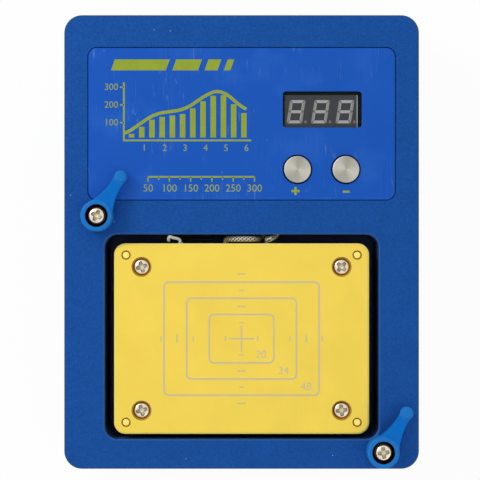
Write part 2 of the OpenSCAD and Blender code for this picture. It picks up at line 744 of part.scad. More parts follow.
// Heat shield: a folded tray on the cover that closes the well and keeps heat off the boards
module heat_shield_tray() color(black_sheet) difference() {
    translate([0, well_y, z_cover]) linear_extrude(z_under - z_cover)
        rounded_rect(well_w + 2 * tray_t, well_d + 2 * tray_t, well_r + tray_t);
    translate([0, well_y, z_tray]) linear_extrude(z_under - z_tray + cut)
        rounded_rect(well_w, well_d, well_r);
    translate([0, plate_y, z_cover - cut]) corners(plate_screw_w, plate_screw_d)
        cylinder(h = tray_t + 2 * cut, d = m25[0] + 2 * hole_gap);
    translate([tray_notch[0], well_rear - cut, z_under - tray_notch[2]])
        cube([tray_notch[1] - tray_notch[0], tray_t + 2 * cut, tray_notch[2] + cut]);
}

// Heating plate, with counterbored screw holes, pin holes and a bore for the probe
module heating_plate() color(gold) difference() {
    translate([0, plate_y, z_plate_low]) rounded_block(plate_w, plate_d, plate_t, plate_r, plate_break);
    translate([0, plate_y, z_plate_low - cut]) corners(plate_screw_w, plate_screw_d)
        cylinder(h = plate_t + 2 * cut, d = m25[0] + 2 * hole_gap);
    translate([0, plate_y, z_plate - plate_counterbore_depth]) corners(plate_screw_w, plate_screw_d)
        cylinder(h = plate_counterbore_depth + cut, d = plate_counterbore);
    translate([0, plate_y, z_plate - flare_depth]) corners(plate_screw_w, plate_screw_d)
        cylinder(h = flare_depth, d1 = plate_counterbore, d2 = plate_counterbore + 2 * flare_w);
    translate([0, plate_y, z_plate_low - cut]) corners(pin_w, pin_d)
        cylinder(h = plate_t + 2 * cut, d = pin_dia + 2 * thread_gap);
    translate([0, plate_y, z_plate - pin_ring_depth]) corners(pin_w, pin_d)
        cylinder(h = pin_ring_depth + cut, d = pin_dia + 2 * pin_ring_w);
    translate([probe_x, plate_rear + cut, z_probe]) rotate([90, 0, 0])
        cylinder(h = probe_depth + cut, d = probe_dia + 2 * thread_gap);
}

// Locating pins pressed into the plate, their chamfered ends just below its face
module locating_pins() color(gold) translate([0, plate_y, z_plate_low]) corners(pin_w, pin_d) {
    end = plate_t - pin_sink;
    rotate_extrude() polygon([
        [0, 0], [pin_dia / 2, 0], [pin_dia / 2, end - pin_sink], [pin_dia / 2 - pin_sink, end], [0, end]
    ]);
}

module plate_screws() color(nickel) translate([0, plate_y, z_plate - plate_counterbore_depth])
    corners(plate_screw_w, plate_screw_d) rotate(30)
        pan_screw(m25, z_plate - plate_counterbore_depth - z_backing_low + pillar_screw_depth);

// One flat layer of the stack under the plate, with clearance for the screws and room round the pins
module stack_layer(low, t, margin) difference() {
    translate([0, plate_y, low]) linear_extrude(t)
        rounded_rect(plate_w - 2 * margin, plate_d - 2 * margin, plate_r - margin / 2);
    translate([0, plate_y, low - cut]) corners(plate_screw_w, plate_screw_d)
        cylinder(h = t + 2 * cut, d = m25[0] + 2 * hole_gap);
}

module heater_element() color("#8c8f94") stack_layer(z_heater_low, heater_t, heater_margin);

module insulation_pad() color("#e4e0d4") stack_layer(z_pad_low, pad_t, heater_margin / 2);

module backing_plate() color(steel) stack_layer(z_backing_low, backing_t, 0);

// Hexagonal pillars from the tray's floor to the stack, tapped at both ends
module heater_pillars() color(steel) translate([0, plate_y, z_tray]) corners(plate_screw_w, plate_screw_d)
    difference() {
        cylinder(h = z_backing_low - z_tray, d = pillar_af / cos(30), $fn = 6);
        translate([0, 0, -cut]) cylinder(h = z_backing_low - z_tray + 2 * cut, d = m25[0] + 2 * thread_gap);
    }

module pillar_screws() color(steel) translate([0, plate_y, z_base]) corners(plate_screw_w, plate_screw_d)
    flat_screw(m25[0], m25[1], cover_t + tray_t + pillar_screw_depth);

module temperature_probe() color(nickel)
    translate([probe_x, plate_rear + probe_show, z_probe]) rotate([90, 0, 0])
        cylinder(h = probe_depth, d = probe_dia);

module probe_lead() color("#d9d8d2") tube(smooth(probe_lead_route, 4), probe_lead_dia);

module heater_lead_left() color("#c9c4b4") tube(smooth(heater_lead_left_route, 3), heater_lead_dia);

module heater_lead_right() color("#c9c4b4") tube(smooth(heater_lead_right_route, 3), heater_lead_dia);

// Clamp lever at its own pivot, arm along +X, standing on z = 0
module clamp_lever() {
    hub_r = hub_dia / 2;
    tip_r = tip_dia / 2;
    flank_r = flank_ratio * clamp_reach;
    bite = 0.1;
    a = hub_r + flank_r - bite;
    b = tip_r + flank_r - bite;
    flank_x = (clamp_reach * clamp_reach + a * a - b * b) / (2 * clamp_reach);
    flank_y = sqrt(a * a - flank_x * flank_x);
    slope_high = hub_h - 0.8;
    slope_low = hub_h - 2.8;
    slope = (slope_high - slope_low) / (clamp_reach - hub_r);
    tip_top = slope_low + 0.9;
    difference() {
        union() {
            rotate_extrude() polygon([
                [0, 0], [hub_r, 0], [hub_r, hub_h - 0.4], [hub_r - 0.4, hub_h], [0, hub_h]
            ]);
            difference() {
                translate([0, 0, arm_gap]) linear_extrude(hub_h - arm_gap) difference() {
                    polygon([[0, 0], [flank_x, flank_y], [clamp_reach, 0], [flank_x, -flank_y]]);
                    for (s = [-1, 1]) translate([flank_x, s * flank_y]) circle(flank_r, $fn = 96);
                }
                rotate([90, 0, 0]) linear_extrude(hub_dia * 2, center = true) polygon([
                    [0, slope_high + slope * hub_r], [clamp_reach + tip_dia, slope_low - slope * tip_dia],
                    [clamp_reach + tip_dia, hub_h + slope * hub_r], [0, hub_h + slope * hub_r + cut]
                ]);
            }
            translate([clamp_reach, 0, 0]) rotate_extrude() polygon([
                [0, tip_gap], [tip_r - 0.5, tip_gap], [tip_r, tip_gap + 0.5], [tip_r, tip_top - 0.6],
                [tip_r - 0.6, tip_top], [0, tip_top]
            ]);
        }
        translate([0, 0, hub_floor]) cylinder(h = hub_h, d = hub_bore);
        translate([0, 0, -cut]) cylinder(h = hub_h, d = m25[0] + 2 * swivel_gap);
    }
}

// Coil spring between the hub's floor and the screw's head
module clamp_spring() {
    rise = spring_wire / 2 + 0.02;
    steps = 16;
    tube([
        for (i = [0 : spring_turns * steps])
            let (a = 360 * i / steps, t = i / (spring_turns * steps))
                [spring_dia / 2 * cos(a), spring_dia / 2 * sin(a),
                 spring_low + rise + t * (spring_high - spring_low - 2 * rise)]
    ], spring_wire, 8);
}

module at_clamp(p) translate([p[0], p[1], z_top]) rotate(clamp_angle) children();

module rear_clamp_lever() color(lever_blue) at_clamp(rear_pivot) clamp_lever();

module rear_clamp_spring() color(steel) at_clamp(rear_pivot) clamp_spring();

module rear_clamp_screw() color(nickel) at_clamp(rear_pivot) translate([0, 0, spring_high])
    pan_screw(m25, clamp_screw_l);

module front_clamp_lever() color(lever_blue) at_clamp(front_pivot) clamp_lever();

module front_clamp_spring() color(steel) at_clamp(front_pivot) clamp_spring();

module front_clamp_screw() color(nickel) at_clamp(front_pivot) translate([0, 0, spring_high])
    pan_screw(m25, clamp_screw_l);

// Turned button with a collar under the housing's top
module button(x) color(nickel) translate([x, key_cy, z_collar]) rotate_extrude() polygon([
    [0, 0], [key_dia / 2 + key_collar, 0], [key_dia / 2 + key_collar, collar_t], [key_dia / 2, collar_t],
    [key_dia / 2, z_top + key_proud - z_collar - 0.3], [key_dia / 2 - 0.3, z_top + key_proud - z_collar],
    [0, z_top + key_proud - z_collar]
]);

module plus_button() button(key_cx[0]);

module minus_button() button(key_cx[1]);

// Plunger of a key switch, which a button rests on
module switch_stem(x) color(black_plastic) translate([x, key_cy, z_key_switch - stem_hidden])
    cylinder(h = stem_hidden + stem_show, d = stem_dia);

module plus_switch_stem() switch_stem(key_cx[0]);

module minus_switch_stem() switch_stem(key_cx[1]);

module key_switch_bodies() color(black_plastic) for (x = key_cx) translate([x, key_cy, z_display_board])
    difference() {
        translate([-key_switch_w / 2, -key_switch_w / 2, 0]) cube([key_switch_w, key_switch_w, key_switch_h]);
        translate([0, 0, key_switch_h - stem_hidden - key_travel - 0.2])
            cylinder(h = key_switch_h, d = stem_dia + 2 * swivel_gap);
    }

// The seven bars of an upright digit, their mitred ends a thin gap apart
module bars() {
    w = digit_w / 2;
    h = digit_h / 2;
    low = bar_w / 2;
    gap = 0.12;
    for (y = [-1, 1]) polygon([
        [gap - w, y * h], [w - gap, y * h],
        [w - bar_w - gap, y * (h - bar_w)], [bar_w + gap - w, y * (h - bar_w)]
    ]);
    polygon([
        [low + gap - w, 0], [bar_w + gap - w, low], [w - bar_w - gap, low],
        [w - low - gap, 0], [w - bar_w - gap, -low], [bar_w + gap - w, -low]
    ]);
    for (x = [-1, 1], y = [-1, 1]) polygon([
        [x * w, y * gap], [x * w, y * (h - gap)], [x * (w - bar_w), y * (h - bar_w - gap)],
        [x * (w - bar_w), y * (low + gap)], [x * (w - low), y * gap]
    ]);
}

// Bars and a point, slanted, for each of three digits
module digit_bars() for (n = [-1 : 1]) translate([n * digit_pitch + digits_at[0], digits_at[1]]) {
    multmatrix([[1, tan(digit_slant), 0, 0], [0, 1, 0, 0], [0, 0, 1, 0], [0, 0, 0, 1]]) bars();
    translate([digit_pitch / 2 - point_inset, (bar_w - digit_h) / 2]) circle(d = bar_w);
}

module display_module() color("#3a3a3b") at_display() difference() {
    translate([-display_w / 2, -display_d / 2, 0]) cube([display_w, display_d, display_h]);
    translate([0, 0, display_h - bar_depth]) linear_extrude(bar_depth + cut) digit_bars();
}

module display_bars() color("#d7d5cc") at_display() translate([0, 0, display_h - bar_depth])
    linear_extrude(bar_depth) digit_bars();

// The module's place on its board, which sits a little off the window's middle
module at_display() translate([module_x, module_y, z_display_board]) children();

module display_board() color(board_green) difference() {
    translate([display_board_x, display_board_y, z_display_board - board_t]) linear_extrude(board_t)
        square([display_board_w, display_board_d], center = true);
    translate([display_board_x, display_board_y, z_display_board - board_t - cut])
        corners(display_board_w - 2 * display_boss_inset, display_board_d - 2 * display_boss_inset)
            cylinder(h = board_t + 2 * cut, d = m2[0] + 2 * hole_gap);
}

module display_board_screws() color(steel)
    translate([display_board_x, display_board_y, z_display_board - board_t])
        corners(display_board_w - 2 * display_boss_inset, display_board_d - 2 * display_boss_inset)
            mirror([0, 0, 1]) pan_screw(m2, board_t + display_screw_depth - cut);

// Chip on the display board, between the board's left edge and the display
module microcontroller() color(black_plastic)
    translate([display_board_x - display_board_w / 2 + 3, key_cy + 5, z_display_board]) cube(chip);

module power_board() color(board_green) difference() {
    translate([-power_w / 2, power_front, z_power - board_t]) cube([power_w, power_d, board_t]);
    translate([0, power_y, z_power - board_t - cut])
        corners(power_w - 2 * power_inset, power_d - 2 * power_inset)
            cylinder(h = board_t + 2 * cut, d = m25[0] + 2 * hole_gap);
}

// Hexagonal pillars with a stud that screws into the cover
module power_board_pillars() color("#c8a24a") translate([0, power_y, z_cover])
    corners(power_w - 2 * power_inset, power_d - 2 * power_inset) difference() {
        union() {
            cylinder(h = power_lift, d = 5 / cos(30), $fn = 6);
            translate([0, 0, -cover_t]) cylinder(h = cover_t + cut, d = m25[0]);
        }
        translate([0, 0, cut]) cylinder(h = power_lift, d = m25[0] + 2 * thread_gap);
    }

module power_board_screws() color(steel) translate([0, power_y, z_power])
    corners(power_w - 2 * power_inset, power_d - 2 * power_inset)
        pan_screw(m25, board_t + power_lift - 1.5 * cut);

// Potted mains converter that feeds the electronics
module power_converter() color(black_plastic)
    translate([converter_x, power_y, z_power]) linear_extrude(converter[2])
        rounded_rect(converter[0], converter[1], 1);

// Heat sink: an upright back with fins, the triac screwed flat against it
module triac_heat_sink() color("#2b2d31") translate([sink_x, power_y - sink[1] / 2, z_power]) {
    cube([sink_back, sink[1], sink[2]]);
    for (i = [0 : sink_fins - 1])
        translate([0, i * (sink[1] - fin_t) / (sink_fins - 1), 0]) cube([sink[0], fin_t, sink[2]]);
}

module triac() color(black_plastic) translate([sink_x - triac_t, power_y, z_power + 1]) difference() {
    union() {
        translate([0, -triac_w / 2, 0]) cube([triac_t, triac_w, 8]);
        translate([triac_t - tab_t, -triac_w / 2, 0]) cube([tab_t, triac_w, sink[2] - 1]);
        for (i = [-1 : 1]) translate([triac_t / 2, i * 2.5 - 0.4, -1]) cube([0.6, 0.8, 1.5]);
    }
    translate([0, 0, 6]) rotate([0, 90, 0]) cylinder(h = 2 * triac_t, d = m3[0] + hole_gap);
}

// Glass fuse in two clips
module fuse() color("#d9dde0")
    translate([fuse_x - fuse_l / 2, fuse_y, z_power + fuse_lift + fuse_dia / 2]) rotate([0, 90, 0]) {
        cylinder(h = fuse_cap, d = fuse_dia);
        translate([0, 0, fuse_cap]) cylinder(h = fuse_l - 2 * fuse_cap, d = fuse_dia - 0.4);
        translate([0, 0, fuse_l - fuse_cap]) cylinder(h = fuse_cap, d = fuse_dia);
    }

module fuse_clips() color(steel) for (s = [-1, 1])
    translate([fuse_x + s * (fuse_l - fuse_cap) / 2 - clip_w / 2, fuse_y, z_power]) difference() {
        translate([0, -fuse_dia / 2 - clip_t, 0])
            cube([clip_w, fuse_dia + 2 * clip_t, fuse_lift + fuse_dia * 0.8]);
        translate([-cut, 0, fuse_lift + fuse_dia / 2]) rotate([0, 90, 0])
            cylinder(h = clip_w + 2 * cut, d = fuse_dia + 2 * thread_gap);
        translate([-cut, -fuse_dia * 0.4, fuse_lift + fuse_dia / 2])
            cube([clip_w + 2 * cut, fuse_dia * 0.8, fuse_dia]);
    }

// Boxed interference capacitor
module filter_capacitor() color("#c9b44a")
    translate([row_end - capacitor[0], power_y - capacitor[1] / 2, z_power]) cube(capacitor);

// Two-way terminal block with screw wells above and wire mouths in front
module terminal_block() difference() {
    translate([-terminal_w / 2, 0, 0]) cube([terminal_w, terminal_d, terminal_h]);
    for (s = [-1, 1]) translate([s * terminal_pitch / 2, 0, 0]) {
        translate([0, terminal_d * 0.55, terminal_h - terminal_screw[1]])
            cylinder(h = terminal_screw[1] + cut, d = terminal_screw[0]);
        translate([0, -cut, terminal_mouth_z - z_power]) rotate([-90, 0, 0])
            cylinder(h = cut + terminal_mouth, d = mains_wire_dia + 0.8);
    }
}

module heater_terminal_block() color("#3f7d4a")
    translate([terminal_x, power_front + terminal_inset, z_power]) terminal_block();

module mains_terminal_block() color("#3f7d4a") translate([terminal_x, power_rear, z_power])
    rotate(180) terminal_block();

module probe_connector() color("#ece8dc")
    translate([probe_socket_x - probe_socket[0] / 2, power_front + probe_socket_inset, z_power])
        cube(probe_socket);

// Row of pins that joins the two boards
module board_link_header() color(black_plastic) translate([link_x, power_y, z_power]) {
    span = z_display_board - board_t - z_power;
    for (z = [0, span - header[2]]) translate([-header[0] / 2, -header[1] / 2, z]) cube(header);
    for (i = [-2 : 2]) translate([-header_pin / 2, i * header_pitch - header_pin / 2, cut])
        cube([header_pin, header_pin, span - 2 * cut]);
}

// Outline of the inlet's socket: a rectangle with two corners cut
module socket_outline() polygon([
    [-socket_w / 2, -socket_h / 2], [socket_w / 2, -socket_h / 2], [socket_w / 2, socket_h / 2 - 4],
    [socket_w / 2 - 4, socket_h / 2], [-socket_w / 2 + 4, socket_h / 2], [-socket_w / 2, socket_h / 2 - 4]
]);

// Blade positions in the socket, across and up
blades = [[-blade_spread, -blade_drop], [blade_spread, -blade_drop], [0, blade_drop]];

// Mains inlet: a flange let into the rear wall and a body through it, open to the rear
module mains_inlet() color(black_plastic) outside_rear(inlet_x) difference() {
    union() {
        translate([0, 0, -flange_t]) linear_extrude(flange_t)
            rounded_rect(inlet_flange_w, inlet_flange_h, inlet_flange_r);
        translate([0, 0, -flange_t / 2]) linear_extrude(inlet_depth + flange_t / 2)
            square([inlet_w, inlet_h], center = true);
    }
    translate([0, 0, -flange_t - cut]) linear_extrude(socket_depth + flange_t + cut) socket_outline();
    for (p = blades) translate([p[0], p[1], inlet_depth / 2]) linear_extrude(inlet_depth)
        square([blade_w + 2 * thread_gap, blade_h + 2 * thread_gap], center = true);
    for (x = [-1, 1]) translate([x * inlet_screw_w / 2, 0, -flange_t])
        flat_screw_hole(m3[0], m3[1], flange_t + cut);
}

// Contact blades, each with a tail for its wire
module inlet_contacts() color("#c9b27a") outside_rear(inlet_x)
    for (p = blades) translate([p[0], p[1], 0]) {
        translate([0, 0, socket_depth - blade_l]) linear_extrude(inlet_depth - socket_depth + blade_l)
            square([blade_w, blade_h], center = true);
        translate([0, 0, inlet_depth - cut]) linear_extrude(contact_tail + cut)
            square([contact_t, blade_h], center = true);
    }

module inlet_screws() color(steel) outside_rear(inlet_x) for (x = [-1, 1])
    translate([x * inlet_screw_w / 2, 0, -flange_t])
        flat_screw(m3[0], m3[1], flange_proud + wall + nut_h + screw_end);

module inlet_nuts() color(steel) outside_rear(inlet_x) for (x = [-1, 1])
    translate([x * inlet_screw_w / 2, 0, wall - flange_recess]) difference() {
        cylinder(h = nut_h, d = nut_af / cos(30), $fn = 6);
        translate([0, 0, -cut]) cylinder(h = nut_h + 2 * cut, d = m3[0] + 2 * thread_gap);
    }

// Power switch: bezel let into the wall, body through it, hollow for the rocker
module power_switch_body() color(black_plastic) outside_rear(switch_x) difference() {
    union() {
        translate([0, 0, -flange_t]) linear_extrude(flange_t) rounded_rect(bezel_w, bezel_h, bezel_r);
        translate([0, 0, -flange_t / 2]) linear_extrude(switch_depth + flange_t / 2)
            square([switch_w, switch_h], center = true);
    }
    translate([-rocker_room[0], -rocker_room[1] / 2, -flange_t - cut])
        cube([2 * rocker_room[0], rocker_room[1], flange_t + cut + rocker_pivot + rocker_room[2]]);
    translate([0, -switch_h, rocker_pivot]) rotate([-90, 0, 0])
        cylinder(h = 2 * switch_h, d = trunnion_dia + 2 * thread_gap);
    for (x = [-1, 1]) translate([x * switch_contact_x, 0, switch_depth - 3]) linear_extrude(4)
        square([contact_t + 2 * thread_gap, contact_w + 2 * thread_gap], center = true);
}

// Rocker with two sloping faces, tilted to its off side, on two trunnions
module power_rocker() color("#232428")
translate([switch_x, mount_y - rocker_pivot, z_rear]) rotate(rocker_tilt) {
    rise = rocker_l * tan(rocker_tilt);
    translate([0, 0, -rocker_h / 2]) linear_extrude(rocker_h) polygon([
        [-rocker_l, rocker_rise + rise], [-rocker_l, 1.4], [-2.4, -2], [2.4, -2],
        [rocker_l, 1.4], [rocker_l, rocker_rise + rise], [0, rocker_rise]
    ]);
    cylinder(h = switch_h - 0.3, d = trunnion_dia, center = true);
}

module switch_contacts() color("#c9b27a") outside_rear(switch_x)
    for (x = [-1, 1]) translate([x * switch_contact_x, 0, switch_depth - 3]) linear_extrude(3 + contact_tail)
        square([contact_t, contact_w], center = true);

module live_wire() color("#6b3a1e") tube(smooth(live_wire_route, 3), mains_wire_dia);

module switched_wire() color("#6b3a1e") tube(smooth(switched_wire_route, 3), mains_wire_dia);

module neutral_wire() color("#2f6fc0") tube(smooth(neutral_wire_route, 3), mains_wire_dia);

module earth_wire() color("#9db52a") tube(smooth(earth_wire_route, 3), mains_wire_dia);

// Earth screw in the cover, holding the ring of the earth wire
module earth_screw() color(steel) translate([earth_pos[0], earth_pos[1], z_cover]) {
    difference() {
        union() {
            cylinder(h = tag_t, d = m3[1] + 1.4);
            translate([-1.2, -earth_tag, 0]) cube([2.4, earth_tag, tag_t]);
        }
        translate([0, 0, -cut]) cylinder(h = tag_t + 2 * cut, d = m3[0] + 2 * hole_gap);
    }
    translate([0, 0, tag_t]) pan_screw(m3, tag_t + cover_t);
}

housing();
control_panel();
bottom_cover();
rubber_feet();
foot_screws();
heat_shield_tray();
heating_plate();
locating_pins();
plate_screws();
heater_element();
insulation_pad();
backing_plate();
heater_pillars();
pillar_screws();
temperature_probe();
probe_lead();
heater_lead_left();
heater_lead_right();
rear_clamp_lever();
rear_clamp_spring();
rear_clamp_screw();
front_clamp_lever();
front_clamp_spring();
front_clamp_screw();
plus_button();
plus_switch_stem();
minus_button();
minus_switch_stem();
key_switch_bodies();
display_module();
display_bars();
display_board();
display_board_screws();
microcontroller();
power_board();
power_board_pillars();
power_board_screws();
power_converter();
triac();
triac_heat_sink();
fuse();
fuse_clips();
filter_capacitor();
heater_terminal_block();
mains_terminal_block();
probe_connector();
board_link_header();
mains_inlet();
inlet_contacts();
inlet_screws();
inlet_nuts();
power_switch_body();
power_rocker();
switch_contacts();
live_wire();
switched_wire();
neutral_wire();
earth_wire();
earth_screw();
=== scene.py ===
import json
import math
import bpy
import numpy as np
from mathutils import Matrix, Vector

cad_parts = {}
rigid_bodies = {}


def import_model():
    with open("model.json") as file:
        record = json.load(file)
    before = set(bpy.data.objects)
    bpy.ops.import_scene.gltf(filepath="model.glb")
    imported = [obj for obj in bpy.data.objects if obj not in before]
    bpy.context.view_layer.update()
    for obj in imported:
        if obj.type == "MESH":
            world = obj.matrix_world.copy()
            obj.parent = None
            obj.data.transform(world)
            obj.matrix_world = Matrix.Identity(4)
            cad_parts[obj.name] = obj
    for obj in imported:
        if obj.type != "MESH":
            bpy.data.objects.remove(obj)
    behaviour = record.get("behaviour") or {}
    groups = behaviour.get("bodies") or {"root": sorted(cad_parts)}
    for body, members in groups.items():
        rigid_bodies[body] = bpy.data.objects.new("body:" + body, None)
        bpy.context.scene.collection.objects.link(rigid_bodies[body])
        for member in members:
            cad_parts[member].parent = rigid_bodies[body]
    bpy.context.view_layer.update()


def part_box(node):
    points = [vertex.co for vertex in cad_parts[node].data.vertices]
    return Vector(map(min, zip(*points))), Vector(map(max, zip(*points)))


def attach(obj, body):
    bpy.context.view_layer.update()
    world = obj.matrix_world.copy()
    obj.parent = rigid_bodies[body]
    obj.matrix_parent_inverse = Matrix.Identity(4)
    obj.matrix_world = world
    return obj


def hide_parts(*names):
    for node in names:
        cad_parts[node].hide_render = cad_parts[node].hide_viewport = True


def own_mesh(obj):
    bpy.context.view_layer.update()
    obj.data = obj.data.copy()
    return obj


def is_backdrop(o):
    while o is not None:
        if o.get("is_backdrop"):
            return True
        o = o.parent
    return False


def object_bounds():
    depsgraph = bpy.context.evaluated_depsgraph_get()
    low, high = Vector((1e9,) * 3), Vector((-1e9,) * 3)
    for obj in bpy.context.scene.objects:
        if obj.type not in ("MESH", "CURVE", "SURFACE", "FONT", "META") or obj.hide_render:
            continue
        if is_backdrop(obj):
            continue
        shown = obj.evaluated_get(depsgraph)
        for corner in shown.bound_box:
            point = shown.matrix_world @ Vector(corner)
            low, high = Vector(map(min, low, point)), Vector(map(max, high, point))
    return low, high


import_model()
mm = 0.001
scene = bpy.context.scene
print("stage: frame loaded")


def boxMm(nodeName):
    # lower and upper corner of a CAD node's box, in millimetres
    return [np.array(corner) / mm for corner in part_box(nodeName)]


# camera straight above the face, in the photograph's frame
viewFrame = {"pixels": 480, "pixelsPerMm": 3.226, "middle": (241.6, 242.0), "standOff": 650.0, "sensor": 36.0}
perMm = viewFrame["pixelsPerMm"]
offMiddle = (viewFrame["pixels"] / 2 - np.array(viewFrame["middle"])) / perMm
faceZ = boxMm("housing")[1][2]
cameraData = bpy.data.cameras.new("camera")
cameraData.sensor_width = viewFrame["sensor"]
cameraData.lens = viewFrame["sensor"] * viewFrame["standOff"] * perMm / viewFrame["pixels"]
camera = bpy.data.objects.new("camera", cameraData)
camera.location = (offMiddle[0] * mm, -offMiddle[1] * mm, (faceZ + viewFrame["standOff"]) * mm)
scene.collection.objects.link(camera)
scene.camera = camera
scene.view_settings.view_transform = "Standard"


# small helpers for shader trees
def srgb(red, green, blue):
    # display colour 0 to 255, turned into linear light
    c = np.array([red, green, blue]) / 255
    return (*np.where(c <= 0.04045, c / 12.92, ((c + 0.055) / 1.055) ** 2.4).tolist(), 1.0)


def node(kind, values=None, tree=None, **settings):
    # a new node with its settings, its sockets set or linked; its tree is that of the first linked socket
    values = values or {}
    isSocket = {key: isinstance(value, bpy.types.NodeSocket) for key, value in values.items()}
    tree = tree or next(value.id_data for key, value in values.items() if isSocket[key])
    made = tree.nodes.new("ShaderNode" + kind)
    for key, value in settings.items():
        setattr(made, key, value)
    for key, value in values.items():
        if isSocket[key]:
            tree.links.new(value, made.inputs[key])
        else:
            made.inputs[key].default_value = value
    return made


def calc(operation, *values):
    return node("Math", dict(enumerate(values)), operation=operation).outputs[0]


def times(first, *others):
    for other in others:
        first = calc("MULTIPLY", first, other)
    return first


def minus(a, b):
    return calc("SUBTRACT", a, b)


def vectorCalc(operation, *values):
    # the second value of SCALE is a plain factor, and LENGTH and DISTANCE give a plain value
    places = (0, "Scale") if operation == "SCALE" else (0, 1)
    made = node("VectorMath", dict(zip(places, values)), operation=operation)
    return made.outputs["Value" if operation in ("LENGTH", "DISTANCE") else "Vector"]


def axes(vector):
    return tuple(node("SeparateXYZ", {0: vector}).outputs)


def band(value, low, high, first=0.0, last=1.0, kind="SMOOTHSTEP"):
    # step of a value from low to high, smooth unless told otherwise
    return node("MapRange",
                {"Value": value, "From Min": low, "From Max": high, "To Min": first, "To Max": last},
                interpolation_type=kind).outputs[0]


def mixColour(share, a, b):
    return node("Mix", {0: share, 6: a, 7: b}, data_type="RGBA").outputs[2]


def toned(colour, gain):
    # colour brightened and darkened by a gain about one
    start = colour if isinstance(colour, bpy.types.NodeSocket) else colour[:3]
    return vectorCalc("SCALE", start, gain)


noiseMiddle = 0.5  # mean level of a noise


def noise(vector, scale, detail=2.0):
    return node("TexNoise", {"Vector": vector, "Scale": scale, "Detail": detail}).outputs[0]


def newGroup(name, outputs, **inputs):
    # every group takes a vector first, then plain values with their defaults
    group = bpy.data.node_groups.new(name, "ShaderNodeTree")
    group.interface.new_socket(name="Vector", in_out="INPUT", socket_type="NodeSocketVector")
    for label, value in inputs.items():
        socket = group.interface.new_socket(name=label, in_out="INPUT", socket_type="NodeSocketFloat")
        socket.default_value = value
    for label in outputs:
        group.interface.new_socket(name=label, in_out="OUTPUT", socket_type="NodeSocketFloat")
    return group, group.nodes.new("NodeGroupInput").outputs, group.nodes.new("NodeGroupOutput").inputs


def useGroup(group, vector, **values):
    return node("Group", {"Vector": vector, **values}, node_tree=group).outputs


# shared effects: each puts out masks and values only
# blasted or moulded grain: a fine noise for the height, and a cloudy one with it for the tone
grain, enter, leave = newGroup("grain", ["Tone", "Height"], Fine=5.0, Cloud=0.2, CloudShare=1.0)
fineNoise = noise(enter["Vector"], enter["Fine"], detail=3.0)
cloudNoise = noise(enter["Vector"], enter["Cloud"], detail=4.0)
cloudTone = times(minus(cloudNoise, noiseMiddle), enter["CloudShare"])
grain.links.new(calc("ADD", minus(fineNoise, noiseMiddle), cloudTone), leave["Tone"])
grain.links.new(fineNoise, leave["Height"])

# loose specks: small dots in a few cells of a cell pattern
specks, enter, leave = newGroup("specks", ["Mask"], PerMm=0.2, Size=0.05, Share=0.3)
cells = node("TexVoronoi", {"Vector": enter["Vector"], "Scale": enter["PerMm"]}).outputs
cellValue = node("SeparateColor", {0: cells["Color"]}).outputs[0]
chosen = calc("LESS_THAN", cellValue, enter["Share"])
fullDot = times(enter["Size"], 0.5)
dot = band(cells["Distance"], enter["Size"], fullDot, kind="LINEAR")
specks.links.new(times(chosen, dot), leave["Mask"])

# hairline scratches: thin level lines of a noise stretched along one direction, broken by a second noise
scratchForm = {"stretch": (1.0, 0.05, 1.0), "breaksPerMm": 0.12, "breaks": (0.5, 0.62)}
hairlines, enter, leave = newGroup("hairlines", ["Mask"], Turn=0.0, Across=0.6, Width=0.01)
turnBy = node("CombineXYZ", {2: enter["Turn"]}).outputs[0]
turned = node("Mapping", {"Vector": enter["Vector"], "Rotation": turnBy, "Scale": scratchForm["stretch"]})
stretched = noise(turned.outputs[0], enter["Across"], detail=1.0)
offLine = calc("ABSOLUTE", minus(stretched, noiseMiddle))
line = band(offLine, enter["Width"], 0.0, kind="LINEAR")
broken = band(noise(enter["Vector"], scratchForm["breaksPerMm"]), *scratchForm["breaks"])
hairlines.links.new(times(line, broken), leave["Mask"])

# turning marks: fine rings about an axis through the vector's origin
turningMarks, enter, leave = newGroup("turningMarks", ["Height"], PerMm=6.0)
flat = vectorCalc("MULTIPLY", enter["Vector"], (1.0, 1.0, 0.0))
radius = vectorCalc("LENGTH", flat)
rings = node("TexNoise", {"W": radius, "Scale": enter["PerMm"], "Detail": 3.0}, noise_dimensions="1D")
turningMarks.links.new(rings.outputs[0], leave["Height"])

# braided sleeve: two sets of slanted waves round and along the sleeve, the higher one on top
weave, enter, leave = newGroup("weave", ["Height", "Side"], Around=6.0, Along=6.0)
mapParts = axes(enter["Vector"])
aroundTurn = times(mapParts[0], enter["Around"], 2 * math.pi)
alongTurn = times(mapParts[1], enter["Along"], 2 * math.pi)
leftWave = calc("SINE", calc("ADD", aroundTurn, alongTurn))
rightWave = calc("SINE", minus(aroundTurn, alongTurn))
weave.links.new(calc("MAXIMUM", leftWave, rightWave), leave["Height"])
weave.links.new(calc("GREATER_THAN", leftWave, rightWave), leave["Side"])
print("stage: shared effects made")

plainSockets = {"rough": "Roughness", "metal": "Metallic", "specular": "Specular IOR Level",
                "brushed": "Anisotropic"}


def feed(skin, socket, value):
    # links what changes over the surface to one of the shader's sockets
    skin.id_data.links.new(value, skin.inputs[socket])


def bump(skin, height, depth):
    feed(skin, "Normal", node("Bump", {"Height": height, "Distance": depth * mm}).outputs[0])


def newFinish(name, look):
    # a material with one shader, its plain sockets and grain set by the look; places are in millimetres
    finish = bpy.data.materials.new(name)
    finish.use_nodes = True
    tree = finish.node_tree
    tree.nodes.clear()
    values = {socket: look[key] for key, socket in plainSockets.items() if key in look}
    skin = node("BsdfPrincipled", values, tree)
    node("OutputMaterial", {0: skin.outputs[0]})
    inMm = vectorCalc("SCALE", node("TexCoord", tree=tree).outputs["Object"], 1 / mm)
    if "grain" not in look:
        return finish, skin, inMm
    marks = useGroup(grain, inMm, **look["grain"])
    if look.get("depth"):
        bump(skin, marks["Height"], look["depth"])
    return finish, skin, inMm, calc("MULTIPLY_ADD", marks["Tone"], look["tone"], 1.0)


